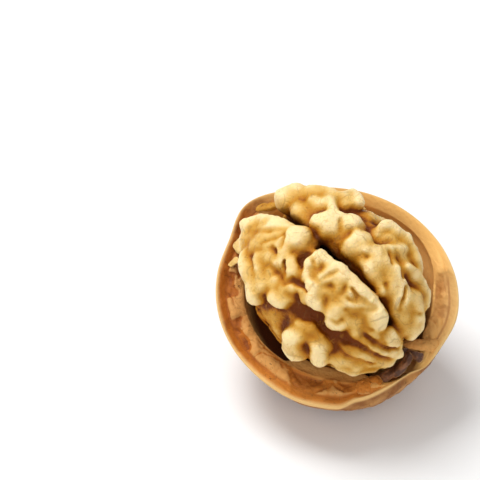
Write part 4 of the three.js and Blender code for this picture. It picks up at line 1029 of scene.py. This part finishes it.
def paintKernel():
    skin, c = Finish("kernelSkin"), kernelLook
    small, broad, depth, stainAndShade = (skin.read(name) for name in ("small", "broad", "domeDepth", "stainAndShade"))
    across, height = skin.axis(1), skin.axis(2)
    blush = (skin.noise(0.55, 4.0, rough=0.65) - 0.5) * skin.ease(depth, 0.6, 2.2)
    # painted highlight and painted shade: the level rises on open crests and falls in creases, in hollows
    # and the deeper it lies below the dome
    level = broad + small * c["crestHighlightAndCreaseShade"] - depth * c["depthShade"] - stainAndShade - c["darker"]
    level = level + (skin.noise(0.2) - 0.5) * c["patches"] + blush * c["blush"]
    # painted shade: the skin darkens towards the bottom of the kernel
    level = level - skin.ease(height, 6.5, -1.0) * c["lowSideShade"]
    color = skin.layers(c["deep"], [(skin.ease(level, low, high), c[key]) for key, low, high in c["bands"]])
    paler = skin.node("Math", {"operation": "MINIMUM"}, {0: stainAndShade, 1: 0.0})
    # painted shade in the creases, weaker where a patch is paler
    creaseShade = skin.ease(paler - small, 0.1, 0.45)
    # painted shade: the darkest brown fills the cleft between the lobes and the deepest hollows
    cleftSideShadeMask = skin.ease(skin.gap(across, 0.5), 1.7, 0.3) * skin.ease(depth, 0.9, 2.4)
    veins = skin.lines(0.34, 1.0, 0.8, 0.045, (0.3, 0.5, 0.62))
    threads = skin.lines(0.6, 1.0, 0.9, 0.04, (0.42, 0.48, 0.6))
    flecks = skin.ease(skin.noise(1.3, 5.0, rough=0.7), 0.56, 0.72) * skin.ease(level, 0.5, 0.0)
    color = skin.layers(color, (
        (creaseShade * c["creases"], c["deep"]), (skin.ease(depth, 2.5, 6.0), c["cleft"]),
        (cleftSideShadeMask * c["cleftSideShade"], c["cleft"]), (veins * c["veins"], c["vein"]),
        (threads * c["threads"], c["side"]), (flecks * c["flecks"], c["deep"])))
    grain = skin.noise(3.0, 4.0)
    skin.give(kernel, c, color, grain, grain + skin.noise(0.9, 4.0, rough=0.6) * 2.4)


shellLook = {
    "outside": tone(192, 138, 78), "outsideDark": tone(136, 82, 36), "pit": tone(66, 36, 18),
    "edge": tone(232, 190, 122), "face": tone(184, 106, 28), "litFront": tone(212, 134, 54),
    "torn": tone(142, 74, 22), "block": tone(222, 168, 96), "wall": tone(250, 196, 114),
    "wallShade": tone(98, 46, 16),
    "rough": 0.5, "roughGrain": 0.22, "bumpMm": 0.1, "even": {"Specular IOR Level": 0.22},
}


def paintShell():
    hull, c = Finish("shellWood"), shellLook
    share, dip, torn, relief, wide = (hull.read(name) for name in ("share", "dip", "torn", "skin", "wide"))
    along, across = hull.axis(0), hull.axis(1)
    streaks = hull.noise(0.35, 4.0, (0.35, 1.0, 1.0)) * 0.7 + hull.noise(0.16) * 0.5
    outside = hull.layers(c["outside"], (
        (hull.ease(streaks, 0.45, 0.75), c["outsideDark"]),
        # painted shade in the sunk pits and lines of the outside
        (hull.ease(relief, -0.1, -0.36) * 0.55, c["pit"]),
        (hull.ease(hull.noise(1.6, 2.0, rough=0.7), 0.66, 0.74) * 0.7, c["pit"])))
    pale = hull.ease(across, -2.0, 6.0)       # the far side of the rim is paler, partly a cleaner break and partly painted light where it faces the lamps
    # painted light: lighter, more orange and with fewer dark patches towards the front of the stem end,
    # over the rim's own orange
    left, litFront = hull.ease(along, -3.0, -10.0), hull.ease(along - across, 13.0, 22.5)
    near, dull = 1.0 - pale, 1.0 - pale * 0.65
    patches = hull.noise(0.3, 4.0)
    blotches = hull.ease(patches - pale * 0.1 + left * 0.04, 0.5, 0.68) * (0.65 + left * 0.35 - litFront * 0.4)
    furrow = hull.ease(hull.gap(share, shellForm["furrowPlace"]), 0.07, 0.01) * wide
    crack = hull.lines(0.42, 2.0, 1.2, 0.012, (0.25, 0.5, 0.6))
    face = hull.layers(c["face"], (
        (pale * 0.75, c["block"]), (litFront * 0.9, c["litFront"]), (left * near * 0.35, c["torn"]),
        (pale * hull.ease(share, 0.7, 0.3) * 0.7, c["edge"]), (blotches * dull, c["torn"]),
        # raised blocks paler and sunk parts darker, partly the broken shell's own tones and partly painted
        # shade in its hollows; the furrow's brown is painted shade
        (hull.ease(torn, 0.08, 0.3) * (0.65 + pale * 0.35), c["block"]),
        (hull.ease(torn, -0.12, -0.42) * (dull - litFront * 0.5), c["torn"]),
        (furrow * (0.55 - litFront * 0.25), c["torn"]), (crack * near * 0.75, c["pit"])))
    face = hull.blend(wide, c["wall"], face)  # a thin rim is as clean as the wall
    # painted shade: the cup's wall darkens the deeper it goes, more under a wide rim and less on the far
    # side
    deep = dip * (0.3 + wide * 1.6) * (1.0 - pale * 0.5) + (patches - 0.5) * 24
    wall = hull.layers(c["wall"], ((litFront * 0.8, c["litFront"]), (hull.ease(deep, 6, 50), c["wallShade"])))
    color = hull.layers(outside, (
        (hull.ease(dip, -3.5, -1.0), hull.blend(hull.ease(share, 0.18, 0.02) * 0.9, face, c["edge"])),
        (hull.ease(share, 0.9, 1.0), wall)))
    grain = hull.noise(2.2, 5.0, (0.6, 1.0, 1.0))
    hull.give(shell, c, color, grain, grain + hull.noise(0.8, 5.0, rough=0.65) * wide * 2.5)


partitionLook = {
    "sheet": tone(140, 88, 50), "dark": tone(78, 42, 20), "edge": tone(188, 142, 92),
    "rough": 0.38, "roughGrain": 0.25, "bumpMm": 0.12, "even": {},
}


def paintPartition():
    paper, c = Finish("partitionPaper"), partitionLook
    wrinkle = paper.noise(0.9, 4.0, (1.0, 0.4, 1.0))
    color = paper.layers(c["dark"], (
        (paper.ease(wrinkle, 0.4, 0.65), c["sheet"]),
        (paper.ease(paper.read("edge"), 0.12, 0.0) * 0.8, c["edge"])))
    paper.give(partition, c, color, wrinkle, wrinkle)


paintKernel()
paintShell()
paintPartition()
print("materials done")


# Camera, floor and light

studio = {
    "elevation": 42,                          # degrees above the horizon that the camera looks from
    "distance": 330.0,                        # millimetres from the lens to the middle of the rim
    "focalPixels": 2079.0, "framePixels": 480.0, "sensor": 36,
    "rimPixel": (335.0, 292.0),               # where the middle of the rim falls in the frame
    "nearest": 0.01, "farthest": 20,          # metres that the lens sees
    "floorHalf": 1.2, "floorColor": (0.9, 0.9, 0.9, 1), "floorRoughness": 0.8,
    "skyColor": (1, 1, 1, 1), "ambient": 0.46,
    "aim": (0, 0, 0.015),                     # what the softboxes look at
}
softboxes = {                                 # place and size in metres, watts
    "topBox": ((-0.16, 0.16, 0.45), 0.28, 2.0),
    "frontFill": ((0.05, -0.5, 0.4), 0.4, 1.0),
    "leftFill": ((-0.42, -0.22, 0.22), 0.3, 0.35),
}


def placeCamera():
    rise, distance = math.radians(studio["elevation"]), studio["distance"]
    right = Vector((1, 0, 0))
    up = Vector((0, math.sin(rise), math.cos(rise)))
    back = Vector((0, -math.cos(rise), math.sin(rise)))
    half, mmPerPixel = studio["framePixels"] / 2, distance / studio["focalPixels"]
    rightward, downward = ((pixel - half) * mmPerPixel for pixel in studio["rimPixel"])
    stand = Vector(howItLies["rimMiddle"]) - rightward * right + downward * up + distance * back
    lens = bpy.data.cameras.new("studioCamera")
    lens.sensor_width = studio["sensor"]
    lens.lens = studio["sensor"] * studio["focalPixels"] / studio["framePixels"]
    lens.clip_start, lens.clip_end = studio["nearest"], studio["farthest"]
    camera = addObject("studioCamera", lens)
    axes = Matrix((right, up, back)).transposed().to_4x4()
    camera.matrix_world = Matrix.Translation(stand / 1000) @ axes
    bpy.context.scene.camera = camera


def makeFloor():
    half = studio["floorHalf"]
    corners = [(x * half, y * half, 0) for x, y in ((-1, -1), (1, -1), (1, 1), (-1, 1))]
    mesh = bpy.data.meshes.new("floor")
    mesh.from_pydata(corners, [], [(0, 1, 2, 3)])
    floor = addObject("floor", mesh)
    paper, surface = newMaterial("floorPaper")
    surface.inputs["Base Color"].default_value = studio["floorColor"]
    surface.inputs["Roughness"].default_value = studio["floorRoughness"]
    mesh.materials.append(paper)


def lightTheSet():
    world = bpy.data.worlds.new("studioAir")
    bpy.context.scene.world = world
    world.use_nodes = True
    sky = next(n for n in world.node_tree.nodes if n.type == "BACKGROUND")
    sky.inputs["Color"].default_value = studio["skyColor"]
    sky.inputs["Strength"].default_value = studio["ambient"]
    for name, (place, size, watts) in softboxes.items():
        light = bpy.data.lights.new(name, "AREA")
        light.size, light.energy = size, watts
        box = addObject(name, light)
        box.location = place
        box.rotation_mode = "QUATERNION"
        box.rotation_quaternion = (Vector(place) - Vector(studio["aim"])).to_track_quat("Z", "Y")


placeCamera()
makeFloor()
lightTheSet()
bpy.context.scene.view_settings.view_transform = "Standard"
print("camera, floor and light ready")
